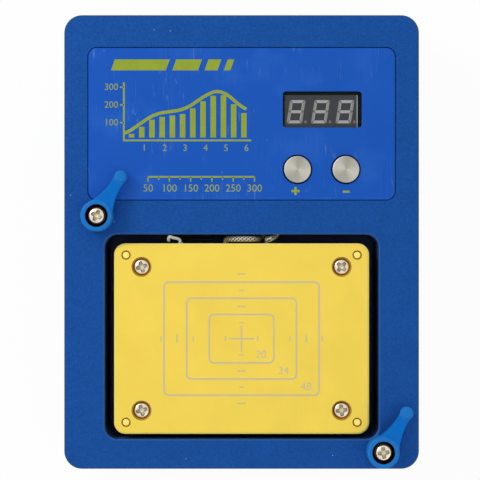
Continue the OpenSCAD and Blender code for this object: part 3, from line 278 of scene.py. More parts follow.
usualLook = {"metal": 0.0, "specular": 0.5, "tone": 0.1, "cloud": 0.25}


def grainyFinish(name, colour, rough, fine=4.0, **more):
    # one colour with a light grain, for pieces with nothing more on them
    look = {**usualLook, "rough": rough, **more}
    look["grain"] = {"Fine": fine, "Cloud": look["cloud"]}
    finish, skin, inMm, gain = newFinish(name, look)
    feed(skin, "Base Color", toned(srgb(*colour), gain))
    return finish


# finishes of the parts in view; a pair of numbers is where a step begins and ends
housingLook = {
    "colour": srgb(22, 76, 149), "rough": 0.55, "metal": 0.75, "specular": 0.2,
    "grain": {"Fine": 1.9, "Cloud": 0.12, "CloudShare": 0.22}, "tone": 0.8, "depth": 0.02,
    "topBand": (1.0, 0.3), "sloping": (0.97, 0.85),
    "edge": srgb(32, 76, 134), "edgeBand": (4.0, 3.0), "wellRimHighlight": srgb(50, 100, 184), "rimReach": 4.0,
    "chip": srgb(196, 204, 216), "chipBand": (0.9, 0.2), "chipsPerMm": 1.6, "chips": (0.73, 0.77),
    "specks": {"PerMm": 0.22, "Size": 0.045, "Share": 0.35}, "speckShare": 0.55,
}


def blastedBlue():
    look = housingLook
    finish, skin, inMm, gain = newFinish("blastedBlue", look)
    colour = toned(look["colour"], gain)
    high = boxMm("housing")[1]
    x, y, z = axes(inMm)
    fromSide = minus(high[0], calc("ABSOLUTE", x))
    fromEnd = minus(high[1], calc("ABSOLUTE", y))
    fromWall = calc("MINIMUM", fromSide, fromEnd)
    nearTop = band(minus(high[2], z), *look["topBand"])
    # the chamfer round the outside is painted a little greyer than the blasted faces, a painted reflection
    # standing in for the sheen the chamfer shows
    level = axes(node("NewGeometry", tree=skin.id_data).outputs["True Normal"])[2]
    sloping = times(band(level, *look["sloping"]), nearTop)
    outside = band(fromWall, *look["edgeBand"])
    colour = mixColour(times(sloping, outside), colour, look["edge"])
    # the thin break of the well's rim is painted paler, a painted highlight where the break catches the light
    inWell = calc("LESS_THAN", y, boxMm("heating_plate")[1][1] + look["rimReach"])
    rim = times(sloping, inWell, minus(1.0, outside))
    colour = mixColour(rim, colour, look["wellRimHighlight"])
    # chips where the upper edges have been knocked, and a few loose specks
    chips = band(noise(inMm, look["chipsPerMm"], detail=3.0), *look["chips"])
    onEdge = times(band(fromWall, *look["chipBand"]), nearTop, chips)
    loose = times(useGroup(specks, inMm, **look["specks"])["Mask"], look["speckShare"])
    worn = calc("MAXIMUM", onEdge, loose)
    feed(skin, "Base Color", mixColour(worn, colour, look["chip"]))
    return finish


panelLook = {
    "colour": srgb(20, 82, 177), "rough": 0.42, "metal": 0.7, "specular": 0.3,
    "grain": {"Fine": 5.0, "Cloud": 0.1}, "tone": 0.1, "depth": 0.004,
    "haze": srgb(48, 104, 192), "hazeShare": 0.3, "hazeRough": 0.12,
    "smearsPerMm": 0.09, "smears": (0.5, 0.75), "scratch": srgb(140, 170, 215), "scratchShare": 0.2,
    "upright": {"Turn": 0.06, "Across": 0.5, "Width": 0.006},
    "slanted": {"Turn": 0.9, "Across": 0.3, "Width": 0.004},
    "lint": {"PerMm": 0.16, "Size": 0.03, "Share": 0.4}, "lintShare": 0.6,
}


def satinPanel():
    look = panelLook
    finish, skin, inMm, gain = newFinish("satinPanel", look)
    colour = toned(look["colour"], gain)
    smears = band(noise(inMm, look["smearsPerMm"], detail=5.0), *look["smears"])
    hazy = mixColour(times(smears, look["hazeShare"]), colour, look["haze"])
    upright = useGroup(hairlines, inMm, **look["upright"])["Mask"]
    slanted = useGroup(hairlines, inMm, **look["slanted"])["Mask"]
    lines = times(calc("MAXIMUM", upright, slanted), look["scratchShare"])
    lint = times(useGroup(specks, inMm, **look["lint"])["Mask"], look["lintShare"])
    scuffed = calc("MAXIMUM", lines, lint)
    feed(skin, "Base Color", mixColour(scuffed, hazy, look["scratch"]))
    feed(skin, "Roughness", calc("MULTIPLY_ADD", smears, look["hazeRough"], look["rough"]))
    return finish


pinShape = {"radius": 1.05, "nose": 0.14, "noseSteps": 7, "foot": 0.5, "top": 0.3, "columns": 48}
plateLook = {
    "colour": srgb(232, 205, 84), "rough": 0.5, "metal": 0.8, "dull": 0.1, "specular": 0.3,
    "grain": {"Fine": 3.4, "Cloud": 0.09}, "tone": 0.12, "depth": 0.012,
    "smear": srgb(222, 190, 78), "smearsPerMm": 0.05, "smears": (0.52, 0.8), "smearShare": 0.35,
    "chamferHighlight": srgb(255, 234, 116), "rim": 0.6, "corner": 3.2, "sunk": 0.04,
    "lipShade": srgb(134, 98, 16), "flare": srgb(198, 154, 50), "flareBand": (0.04, 0.3),
    "bore": srgb(192, 142, 40), "boreShadeBand": (0.85, 1.35), "pinRingShade": srgb(186, 142, 36), "pinReach": 1.8,
}


def blastedGold():
    look = plateLook
    finish, skin, inMm, gain = newFinish("blastedGold", look)
    smears = band(noise(inMm, look["smearsPerMm"], detail=4.0), *look["smears"], 0.0, look["smearShare"])
    colour = mixColour(smears, look["colour"], look["smear"])
    low, high = boxMm("heating_plate")
    x, y, z = axes(inMm)
    fromSide = minus(high[0], calc("ABSOLUTE", x))
    fromMiddle = calc("ABSOLUTE", minus(y, (low[1] + high[1]) / 2))
    fromEnd = minus((high[1] - low[1]) / 2, fromMiddle)
    deep = minus(high[2], z)
    # below the face: painted shade in the holes, brown with a darker line at the lip and olive round the
    # pins; pale on the chamfer round the outside, a painted highlight
    holeShade = mixColour(band(deep, *look["flareBand"]), look["lipShade"], look["flare"])
    holeShade = mixColour(band(deep, *look["boreShadeBand"]), holeShade, look["bore"])
    pinInset = high - boxMm("locating_pins")[1] + pinShape["radius"]
    offPin = node("CombineXYZ", {0: minus(fromSide, pinInset[0]), 1: minus(fromEnd, pinInset[1])})
    nearPin = calc("LESS_THAN", vectorCalc("LENGTH", offPin.outputs[0]), look["pinReach"])
    holeShade = mixColour(nearPin, holeShade, look["pinRingShade"])
    # the pale chamfer colour is a painted highlight, where the chamfer round the outside catches the light
    nearWall = calc("LESS_THAN", calc("MINIMUM", fromSide, fromEnd), look["rim"])
    nearCorner = calc("LESS_THAN", calc("ADD", fromSide, fromEnd), look["corner"])
    sunk = mixColour(calc("MAXIMUM", nearWall, nearCorner), holeShade, look["chamferHighlight"])
    below = calc("GREATER_THAN", deep, look["sunk"])
    colour = mixColour(below, colour, sunk)
    feed(skin, "Base Color", toned(colour, gain))
    feed(skin, "Metallic", band(below, 0.0, 1.0, look["metal"], look["dull"]))
    return finish


leverShape = {"reach": 14.0, "angle": 58.5, "hub": 4.9, "bore": 3.45, "tip": 2.0, "grid": 0.13, "smooth": 5,
              "merge": 0.002}
leverLook = {
    "arm": srgb(0, 109, 199), "ring": srgb(26, 118, 200), "bore": srgb(6, 9, 16),
    "rough": 0.42, "specular": 0.1, "grain": {"Fine": 2.5, "Cloud": 0.4}, "tone": 0.14, "depth": 0.01,
    "hubBand": (-0.1, 0.25), "tipBand": (-0.1, 0.3), "boreShadeBand": (0.12, -0.02),
}


def mouldedBlue():
    # arm brighter than hub ring and fingertip, whose paler tone is painted light; bore painted dark as shade;
    # by the piece's own place attribute
    look = leverLook
    finish, skin, inMm, gain = newFinish("mouldedBlue", look)
    place = node("Attribute", tree=skin.id_data, attribute_name="leverPlace").outputs["Vector"]
    flatPlace = vectorCalc("MULTIPLY", place, (1.0, 1.0, 0.0))
    fromPivot = vectorCalc("LENGTH", flatPlace)
    fromTip = vectorCalc("DISTANCE", flatPlace, (leverShape["reach"], 0.0, 0.0))
    offHub = band(minus(fromPivot, leverShape["hub"]), *look["hubBand"])
    offTip = band(minus(fromTip, leverShape["tip"]), *look["tipBand"])
    boreShade = band(minus(fromPivot, leverShape["bore"]), *look["boreShadeBand"])
    # hub ring and fingertip painted paler than the arm, a painted difference of light between their upward
    # faces and the sloping arm
    colour = mixColour(times(offHub, offTip), look["ring"], look["arm"])
    colour = mixColour(boreShade, toned(colour, gain), look["bore"])
    feed(skin, "Base Color", colour)
    return finish


buttonLook = {"colour": srgb(176, 173, 163), "rough": 0.38, "metal": 1.0, "brushed": 0.7,
              "ringsPerMm": 9.0, "ringTone": 0.12, "depth": 0.012, "paintedFan": 0.28, "fanTurn": 0.44,
              "collar": srgb(14, 22, 42), "collarShadeBand": (1.1, 0.6)}


def spunMetal(nodeName):
    # spun grain runs round the axis; a faint fan of lighter and darker sectors is painted with it, a painted
    # highlight standing in for the spun face's reflection
    look = buttonLook
    finish, skin, inMm = newFinish("spunMetal_" + nodeName, look)
    low, high = boxMm(nodeName)
    toAxis = (-(low[0] + high[0]) / 2, -(low[1] + high[1]) / 2, 0.0)
    centred = node("Mapping", {"Vector": inMm, "Location": toAxis}).outputs[0]
    x, y, z = axes(centred)
    grainWay = node("CombineXYZ", {0: times(y, -1.0), 1: x}).outputs[0]
    cuts = useGroup(turningMarks, centred, PerMm=look["ringsPerMm"])["Height"]
    bearing = calc("ADD", calc("ARCTAN2", y, x), look["fanTurn"])
    paintedFan = times(calc("COSINE", times(bearing, 2.0)), look["paintedFan"])
    tone = calc("ADD", paintedFan, times(minus(cuts, noiseMiddle), look["ringTone"]))
    # collar and lower wall painted dark, which show only as the gap round the cap: painted shade in the gap
    cap = band(minus(high[2], z), *look["collarShadeBand"])
    colour = mixColour(cap, look["collar"], toned(look["colour"], calc("ADD", tone, 1.0)))
    feed(skin, "Base Color", colour)
    feed(skin, "Tangent", vectorCalc("NORMALIZE", grainWay))
    bump(skin, cuts, look["depth"])
    return finish


screenLook = {"film": srgb(51, 54, 57), "edge": srgb(214, 214, 210), "rightEdge": 0.16, "leftEdge": 0.02,
              "faceDepth": 0.45, "rough": 0.45, "specular": 0.3,
              "grain": {"Fine": 4.0, "Cloud": 0.2}, "tone": 0.1}


def displayFilm():
    # grey film on the module's face, short of its right edge by a hair, over a pale body
    look = screenLook
    finish, skin, inMm, gain = newFinish("displayFilm", look)
    low, high = boxMm("display_module")
    x, z = axes(inMm)[0::2]
    right = calc("LESS_THAN", x, high[0] - look["rightEdge"])
    left = calc("GREATER_THAN", x, low[0] + look["leftEdge"])
    onFace = calc("GREATER_THAN", z, high[2] - look["faceDepth"])
    colour = mixColour(times(right, left, onFace), look["edge"], look["film"])
    feed(skin, "Base Color", toned(colour, gain))
    return finish


barLook = {"level": srgb(166, 166, 165), "side": srgb(136, 136, 131), "point": srgb(108, 108, 106),
           "rough": 0.5, "specular": 0.2, "pitch": 7.6, "pitchStart": -0.4, "slant": 9.0, "width": 4.8,
           "bar": 0.9, "pointGap": 0.1}


def lightBars():
    # level bars paler than the leaning ones, points faint, by place in each digit with its slant taken out
    look = barLook
    finish, skin, inMm = newFinish("displayBars", look)
    low, high = boxMm("display_bars")
    lean = math.tan(math.radians(look["slant"]))
    halfWidth = look["width"] / 2
    firstDigit = low[0] + halfWidth + lean * (high[1] - low[1]) / 2
    x, y = axes(inMm)[:2]
    up = minus(y, (low[1] + high[1]) / 2)
    across = minus(minus(x, times(up, lean)), firstDigit)
    pitchLow = look["pitch"] * look["pitchStart"]
    inPitch = calc("WRAP", across, pitchLow + look["pitch"], pitchLow)
    sideways = band(calc("ABSOLUTE", inPitch), halfWidth - look["bar"], halfWidth - look["bar"] / 2)
    colour = mixColour(sideways, look["level"], look["side"])
    point = calc("GREATER_THAN", inPitch, halfWidth + look["pointGap"])
    feed(skin, "Base Color", mixColour(point, colour, look["point"]))
    return finish


braidLook = {"leftCord": srgb(226, 221, 206), "rightCord": srgb(196, 190, 172), "valleyShade": srgb(96, 88, 74),
             "valleys": (0.1, 0.75), "weave": {"Around": 5.0, "Along": 5.0}, "depth": 0.08,
             "rough": 0.8, "specular": 0.2}


def braidedSleeve():
    look = braidLook
    finish, skin = newFinish("braidedSleeve", look)[:2]
    sleeveMap = node("UVMap", tree=skin.id_data, uv_map="sleeve").outputs[0]
    cords = useGroup(weave, sleeveMap, **look["weave"])
    # the cords of one direction are painted paler than those of the other, as the light catches them, and the
    # valleys between them are painted darker as shade
    colour = mixColour(cords["Side"], look["rightCord"], look["leftCord"])
    onTop = band(cords["Height"], *look["valleys"])
    feed(skin, "Base Color", mixColour(onTop, look["valleyShade"], colour))
    bump(skin, cords["Height"], look["depth"])
    return finish


leadLook = {"bare": srgb(206, 208, 208), "sleeve": srgb(24, 24, 28), "bareBand": (31.8, 32.6), "rough": 0.5,
            "specular": 0.3, "grain": {"Fine": 4.0, "Cloud": 0.25}, "tone": 0.1}


def sleevedLead():
    # pale lead where it loops up beside the plate, in a dark sleeve below that
    look = leadLook
    finish, skin, inMm, gain = newFinish("whiteLead", look)
    bare = band(axes(inMm)[2], *look["bareBand"])
    colour = mixColour(bare, look["sleeve"], look["bare"])
    feed(skin, "Base Color", toned(colour, gain))
    return finish


screwLook = {
    "colour": srgb(228, 214, 198), "rough": 0.28, "metal": 1.0,
    "grain": {"Fine": 3.0, "Cloud": 0.5}, "tone": 0.2, "depth": 0.006,
    "wall": srgb(66, 54, 38), "wallShadeBand": (0.08, 0.3), "wallRough": 0.3,
    "recess": srgb(168, 160, 136), "recessBand": (0.35, 0.62),
    "centre": srgb(220, 214, 184), "centreHighlightBand": (0.78, 0.95),
}


def crossHead():
    # plated steel; the cross is painted dark on its walls as shade and paler on its floor, with a painted
    # highlight at its centre, by the piece's own recess attribute
    look = screwLook
    finish, skin, inMm, gain = newFinish("nickelScrew", look)
    recess = node("Attribute", tree=skin.id_data, attribute_name="recess").outputs["Fac"]
    worn = toned(look["colour"], gain)
    deep = band(recess, *look["wallShadeBand"])
    cross = mixColour(band(recess, *look["recessBand"]), look["wall"], look["recess"])
    cross = mixColour(band(recess, *look["centreHighlightBand"]), cross, look["centre"])
    feed(skin, "Base Color", mixColour(deep, worn, cross))
    feed(skin, "Roughness", calc("MULTIPLY_ADD", deep, look["wallRough"], look["rough"]))
    return finish


boardLook = {"lanes": {"Scale": 0.5, "Mortar Size": 0.12, "Mortar": srgb(16, 68, 40),
                       "Color1": srgb(24, 92, 52), "Color2": srgb(28, 98, 57)},
             "rough": 0.35, "grain": {"Fine": 3.0, "Cloud": 0.1}, "tone": 0.15}


def boardFinish():
    # solder mask with faint copper lanes under it
    look = boardLook
    finish, skin, inMm, gain = newFinish("boardGreen", look)
    lanes = node("TexBrick", {"Vector": inMm, **look["lanes"]}).outputs[0]
    feed(skin, "Base Color", toned(lanes, gain))
    return finish


earthLook = {"green": srgb(36, 120, 50), "yellow": srgb(214, 200, 40), "turnsPerMm": 0.12, "half": 0.5,
             "rough": 0.4}


def stripedWire():
    # earth wire: two colours in long turns round the core
    look = earthLook
    finish, skin, inMm = newFinish("wireGreenYellow", look)
    turns = node("TexWave", {"Vector": inMm, "Scale": look["turnsPerMm"], "Distortion": 0.0},
                 bands_direction="DIAGONAL").outputs["Fac"]
    isYellow = calc("GREATER_THAN", turns, look["half"])
    feed(skin, "Base Color", mixColour(isYellow, look["green"], look["yellow"]))
    return finish


fuseLook = {"glass": srgb(206, 214, 214), "cap": srgb(176, 176, 178), "glassShare": 0.25, "rough": 0.15}


def clearGlass():
    # fuse: glass between two metal caps, by place along the fuse
    look = fuseLook
    finish, skin, inMm = newFinish("fuseGlass", look)
    low, high = boxMm("fuse")
    fromMiddle = calc("ABSOLUTE", minus(axes(inMm)[0], (low[0] + high[0]) / 2))
    cap = calc("GREATER_THAN", fromMiddle, (high[0] - low[0]) * look["glassShare"])
    feed(skin, "Base Color", mixColour(cap, look["glass"], look["cap"]))
    feed(skin, "Metallic", cap)
    return finish


finishOf = {
    "housing": blastedBlue(), "panel": satinPanel(), "plate": blastedGold(), "lever": mouldedBlue(),
    "screen": displayFilm(), "bars": lightBars(), "sleeve": braidedSleeve(), "probeWire": sleevedLead(),
    "screw": crossHead(), "board": boardFinish(), "earthWire": stripedWire(), "fuse": clearGlass(),
}
# finishes of one grained colour: the material's name, its colour and roughness, then what isn't as usual
plainLooks = {
    "pin": ("pinGold", (246, 226, 120), 0.4, {"metal": 0.9, "tone": 0.08, "depth": 0.004}),
    "spring": ("springSteel", (96, 92, 88), 0.24, {"metal": 1.0}),
    "zinc": ("zincSteel", (172, 176, 180), 0.36, {"metal": 1.0, "fine": 2.0, "tone": 0.12, "depth": 0.006}),
    # the tray's dark sheet is given a navy blue, a painted reflection of the blue walls round the well
    "tray": ("blackSheetPaintedBlue", (72, 82, 132), 0.5, {"specular": 0.25, "fine": 5.0, "tone": 0.2, "depth": 0.02}),
    "rubber": ("rubberBlack", (26, 26, 28), 0.75, {"specular": 0.3, "fine": 3.0, "tone": 0.2, "depth": 0.03}),
    "plastic": ("blackPlastic", (28, 29, 32), 0.45,
                {"specular": 0.4, "fine": 5.0, "tone": 0.12, "depth": 0.012}),
    "foil": ("heaterFoil", (140, 143, 148), 0.4, {"metal": 0.6, "tone": 0.15, "depth": 0.01}),
    "fibre": ("fibrePad", (226, 222, 208), 0.9, {"specular": 0.1, "fine": 2.0, "tone": 0.2, "depth": 0.06}),
    "brass": ("brass", (206, 172, 96), 0.32, {"metal": 1.0, "depth": 0.004}),
    "sink": ("blackAnodised", (34, 36, 40), 0.4, {"metal": 0.5, "depth": 0.01}),
    "yellow": ("yellowPlastic", (204, 182, 70), 0.45, {"tone": 0.06}),
    "green": ("greenPlastic", (62, 126, 74), 0.45, {"tone": 0.08, "depth": 0.004}),
    "white": ("whitePlastic", (234, 230, 218), 0.5, {"tone": 0.05}),
    "brownWire": ("wireBrown", (104, 58, 32), 0.42, {"tone": 0.06}),
    "blueWire": ("wireBlue", (48, 110, 190), 0.42, {"tone": 0.06}),
    "ink": ("panelInk", (146, 164, 48), 0.6, {"specular": 0.2, "fine": 2.2, "tone": 0.3}),
    "etch": ("etchedGrey", (206, 194, 156), 0.7,
             {"metal": 0.2, "specular": 0.2, "fine": 2.5, "tone": 0.12}),
    "mark": ("whiteMark", (226, 226, 222), 0.6, {"specular": 0.2, "tone": 0.06}),
}
for look, (name, colour, rough, more) in plainLooks.items():
    finishOf[look] = grainyFinish(name, colour, rough, **more)
dressed = {
    "housing": ["housing", "bottom_cover"], "panel": ["control_panel"], "plate": ["heating_plate"],
    "screen": ["display_module"], "bars": ["display_bars"],
    "board": ["display_board", "power_board"], "tray": ["heat_shield_tray"], "rubber": ["rubber_feet"],
    "zinc": ["foot_screws", "backing_plate", "heater_pillars", "pillar_screws", "display_board_screws",
             "power_board_screws", "fuse_clips", "inlet_screws", "inlet_nuts", "earth_screw",
             "temperature_probe"],
    "foil": ["heater_element"], "fibre": ["insulation_pad"],
    "plastic": ["plus_switch_stem", "minus_switch_stem", "key_switch_bodies", "microcontroller",
                "power_converter", "triac", "board_link_header", "mains_inlet", "power_switch_body",
                "power_rocker"],
    "brass": ["power_board_pillars", "inlet_contacts", "switch_contacts"], "sink": ["triac_heat_sink"],
    "fuse": ["fuse"], "yellow": ["filter_capacitor"],
    "green": ["heater_terminal_block", "mains_terminal_block"], "white": ["probe_connector"],
    "brownWire": ["live_wire", "switched_wire"], "blueWire": ["neutral_wire"], "earthWire": ["earth_wire"],
}
for look, names in dressed.items():
    for name in names:
        slots = bpy.data.objects[name].data.materials
        slots.clear()
        slots.append(finishOf[look])
print("stage: CAD nodes dressed")


# surfaces worked out on grids
def gridPart(points, poles=(False, False)):
    # points[row, column]: columns close into a ring, rows run on; end rows close to a pole or to a flat cap
    rows, columns = points.shape[:2]
    r, c = np.meshgrid(np.arange(rows - 1), np.arange(columns), indexing="ij")
    here, onward = r * columns + c, r * columns + (c + 1) % columns
    quads = np.stack([here, onward, onward + columns, here + columns], -1)
    vertices = points.reshape(-1, 3)
    faces = quads.reshape(-1, 4).tolist()
    ring = np.arange(columns)
    last = (rows - 1) * columns
    for end, pole in enumerate(poles):
        edge = ring[::-1] if end == 0 else ring + last
        if pole:
            tip = len(vertices)
            vertices = np.vstack([vertices, vertices[edge].mean(0)])
            faces += np.stack([edge, np.roll(edge, -1), np.full(columns, tip)], -1).tolist()
        else:
            faces.append(edge.tolist())
    return vertices, faces


def circle(count):
    # cosine and sine of even steps round a full turn
    turn = np.linspace(0, 2 * np.pi, count, endpoint=False)
    return np.cos(turn), np.sin(turn)


def lathe(profile, centre, columns):
    # profile of radius and height carried round an upright axis, from the lower pole to the upper one
    radius, height = np.array(profile, float).T[:, :, None]
    east, north = circle(columns)
    points = np.stack(np.broadcast_arrays(centre[0] + radius * east, centre[1] + radius * north,
                                          centre[2] + height), -1)
    return gridPart(points, (True, True))


def roundedEdge(radius, top, size, steps):
    # quarter arc of a turned piece's profile, from its wall in to its top
    turn = np.linspace(0, np.pi / 2, steps)
    return list(zip(radius - size * (1 - np.cos(turn)), top - size * (1 - np.sin(turn))))


def stroke(path, width, z, height, closed=False, miterLimit=0.5):
    # rectangle section carried along a flat path: two edges left and right of it, below and above
    path = np.array(path, float)
    ahead = np.roll(path, -1, 0) - path if closed else np.diff(path, axis=0, append=path[-1:])
    if not closed:
        ahead[-1] = ahead[-2]
    ahead /= np.linalg.norm(ahead, axis=1)[:, None]
    behind = np.roll(ahead, 1, 0)
    if not closed:
        behind[0] = ahead[0]
    middle = ahead + behind
    middle /= np.linalg.norm(middle, axis=1)[:, None]
    miter = width / 2 / np.maximum((middle * ahead).sum(1), miterLimit)
    side = np.stack([-middle[:, 1], middle[:, 0]], -1) * miter[:, None]
    low, high = np.full(len(path), z), np.full(len(path), z + height)
    left, right = path + side, path - side
    ring = np.stack([np.column_stack([left, low]), np.column_stack([left, high]),
                     np.column_stack([right, high]), np.column_stack([right, low])], 1)
    if not closed:
        return gridPart(ring)
    vertices, faces = gridPart(np.concatenate([ring, ring[:1]]))
    return vertices, faces[:-2]


def roundedPath(width, depth, radius, centre, steps=8):
    # four quarter arcs joined by straight runs
    turn = np.linspace(0, np.pi / 2, steps)
    inset = np.array([width / 2 - radius, depth / 2 - radius])
    corners = np.array([[1, 1], [-1, 1], [-1, -1], [1, -1]]) * inset
    starts = np.arange(4) * np.pi / 2
    arcs = [corner + radius * np.stack([np.cos(turn + start), np.sin(turn + start)], -1)
            for corner, start in zip(corners, starts)]
    return np.concatenate(arcs) + np.array(centre)


def numberPart(text, size, x, y, z, height):
    # plain figures from the built-in face, turned into a mesh and set in place
    curve = bpy.data.curves.new("figures", "FONT")
    curve.body, curve.size, curve.extrude = text, size, height / 2
    curve.align_x, curve.align_y = "CENTER", "CENTER"
    curve.resolution_u = 4
    holder = bpy.data.objects.new("figures", curve)
    scene.collection.objects.link(holder)
    made = bpy.data.meshes.new_from_object(holder.evaluated_get(bpy.context.evaluated_depsgraph_get()))
    vertices = np.empty(len(made.vertices) * 3)
    made.vertices.foreach_get("co", vertices)
    faces = [list(face.vertices) for face in made.polygons]
    bpy.data.objects.remove(holder)
    bpy.data.curves.remove(curve)
    bpy.data.meshes.remove(made)
    return vertices.reshape(-1, 3) + np.array([x, y, z + height / 2]), faces


def flatMarks(z, thick):
    # a list of marks on one level, with a function that adds a rule to it and one that adds figures
    parts = []

    def rule(path, width, lift=0.0, closed=False):
        parts.append(stroke(path, width, z + lift, thick, closed))

    def figures(number, size, x, y):
        parts.append(numberPart(str(number), size, x, y, z, thick))

    return parts, rule, figures


def joined(parts):
    vertices, faces = np.zeros((0, 3)), []
    for more, around in parts:
        faces += [[k + len(vertices) for k in face] for face in around]
        vertices = np.vstack([vertices, more])
    return vertices, faces


def makePiece(name, part, body, look, nodes=(), sharp=35):
    # part is in millimetres; the mesh is in metres, in place
    vertices, faces = part
    mesh = bpy.data.meshes.new(name)
    mesh.from_pydata((vertices * mm).tolist(), [], faces)
    mesh.polygons.foreach_set("use_smooth", np.ones(len(mesh.polygons), bool))
    mesh.set_sharp_from_angle(angle=math.radians(sharp))
    mesh.update()
    mesh.materials.append(finishOf[look] if isinstance(look, str) else look)
    piece = bpy.data.objects.new(name, mesh)
    scene.collection.objects.link(piece)
    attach(piece, body)
    if nodes:
        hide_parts(*nodes)
    return piece


def middleOf(nodeName):
    low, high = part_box(nodeName)
    return np.array((low + high) / 2) / mm


# screws with a cross recess
screwHead = {"radius": 2.4, "height": 1.8, "sideShare": 0.66, "dome": 3.3, "footIn": 0.12, "footUp": 0.15,
             "shank": 1.25, "point": 0.3, "reach": 1.72, "wing": 0.72, "taper": 0.42, "deep": 1.2,
             "rise": 0.45, "soft": 0.1, "rows": 44, "columns": 144, "poleShare": 0.02}


def crossScrew(centre, seat, length, turn):
    # revolved pan head; the dome's height drops inside a cross whose four wings narrow and rise outwards
    s = screwHead
    side = s["height"] * s["sideShare"]
    below = np.array([(s["shank"] - s["point"], -length), (s["shank"], s["point"] - length),
                      (s["shank"], 0.0), (s["radius"] - s["footIn"], 0.0),
                      (s["radius"], s["footUp"]), (s["radius"], side)])
    spread = np.linspace(1, s["poleShare"], s["rows"])[1:]
    dome = side + (s["height"] - side) * np.sqrt(np.clip(1 - spread ** s["dome"], 0, 1))
    radius = np.concatenate([below[:, 0], s["radius"] * spread])[:, None]
    height = np.concatenate([below[:, 1], dome])[:, None]
    angle = np.linspace(0, 2 * np.pi, s["columns"], endpoint=False)
    across = np.abs(radius * np.cos(angle - math.radians(turn)))
    up = np.abs(radius * np.sin(angle - math.radians(turn)))
    out = np.maximum(across, up)
    halfWing = s["wing"] * (1 - s["taper"] * out / s["reach"])
    inWing = np.clip((halfWing - np.minimum(across, up)) / s["soft"] + 0.5, 0, 1)
    inReach = np.clip((s["reach"] - out) / s["soft"] + 0.5, 0, 1)
    isTop = (np.arange(len(radius)) >= len(below))[:, None]
    drop = s["deep"] * (1 - s["rise"] * out / s["reach"]) * inWing * inReach * isTop
    points = np.stack([centre[0] + radius * np.cos(angle), centre[1] + radius * np.sin(angle),
                       seat + height - drop], -1)
    return gridPart(points, (True, True)), np.concatenate([drop.ravel() / s["deep"], [0.0, 1.0]])


def makeScrews(name, screws, nodeName):
    part = joined([part for part, recess in screws])
    piece = makePiece(name, part, "base", "screw", [nodeName])
    recess = np.concatenate([recess for part, recess in screws])
    piece.data.attributes.new("recess", "FLOAT", "POINT").data.foreach_set("value", recess)


plateScrewTurns = (18, 48, 16, 8)
low, high = boxMm("plate_screws")
seat = high[2] - screwHead["height"]
columnsX = (low[0] + screwHead["radius"], high[0] - screwHead["radius"])
rowsY = (high[1] - screwHead["radius"], low[1] + screwHead["radius"])
spots = [(x, y) for y in rowsY for x in columnsX]
plateScrews = [crossScrew(spot, seat, seat - low[2], turn) for spot, turn in zip(spots, plateScrewTurns)]
makeScrews("plateScrews", plateScrews, "plate_screws")
clampScrewTurns = {"rear": 64, "front": 8}
for end, turn in clampScrewTurns.items():
    nodeName = end + "_clamp_screw"
    low, high = boxMm(nodeName)
    seat = high[2] - screwHead["height"]
    makeScrews(end + "ClampScrew", [crossScrew(middleOf(nodeName), seat, seat - low[2], turn)], nodeName)

# locating pins with rounded noses
low, high = boxMm("locating_pins")
pinRadius = pinShape["radius"]
pinTall = high[2] - low[2]
pinProfile = [(pinRadius * pinShape["foot"], 0), (pinRadius, 0)]
pinProfile += roundedEdge(pinRadius, pinTall, pinShape["nose"], pinShape["noseSteps"])
pinProfile.append((pinRadius * pinShape["top"], pinTall))
pinSpots = [(x, y, low[2]) for x in (low[0] + pinRadius, high[0] - pinRadius)
            for y in (low[1] + pinRadius, high[1] - pinRadius)]
pins = joined([lathe(pinProfile, spot, pinShape["columns"]) for spot in pinSpots])
makePiece("locatingPins", pins, "base", "pin", ["locating_pins"])

# turned buttons: collar, wall, rounded rim and a faintly dished face
buttonShape = {"collar": 0.8, "collarWide": 1.2, "foot": 0.5, "rim": 0.3, "rimSteps": 6, "dish": 0.12,
               "dishInset": 0.15, "dishPole": 0.2, "dishSteps": 10, "columns": 96}
for sign in ("plus", "minus"):
    b = buttonShape
    low, high = boxMm(sign + "_button")
    middle = middleOf(sign + "_button")
    wide = (high[0] - low[0]) / 2
    tall = high[2] - low[2]
    capRadius = wide - b["collarWide"]
    dishRadius = np.linspace(capRadius - b["rim"] - b["dishInset"], b["dishPole"], b["dishSteps"])
    profile = [(wide * b["foot"], 0), (wide, 0), (wide, b["collar"]), (capRadius, b["collar"])]
    profile += roundedEdge(capRadius, tall, b["rim"], b["rimSteps"])
    profile += list(zip(dishRadius, tall - b["dish"] * (1 - (dishRadius / capRadius) ** 2)))
    makePiece(sign + "Button", lathe(profile, (middle[0], middle[1], low[2]), b["columns"]), sign + "_key",
              spunMetal(sign + "_button"), [sign + "_button"])
print("stage: screws, pins and buttons made")

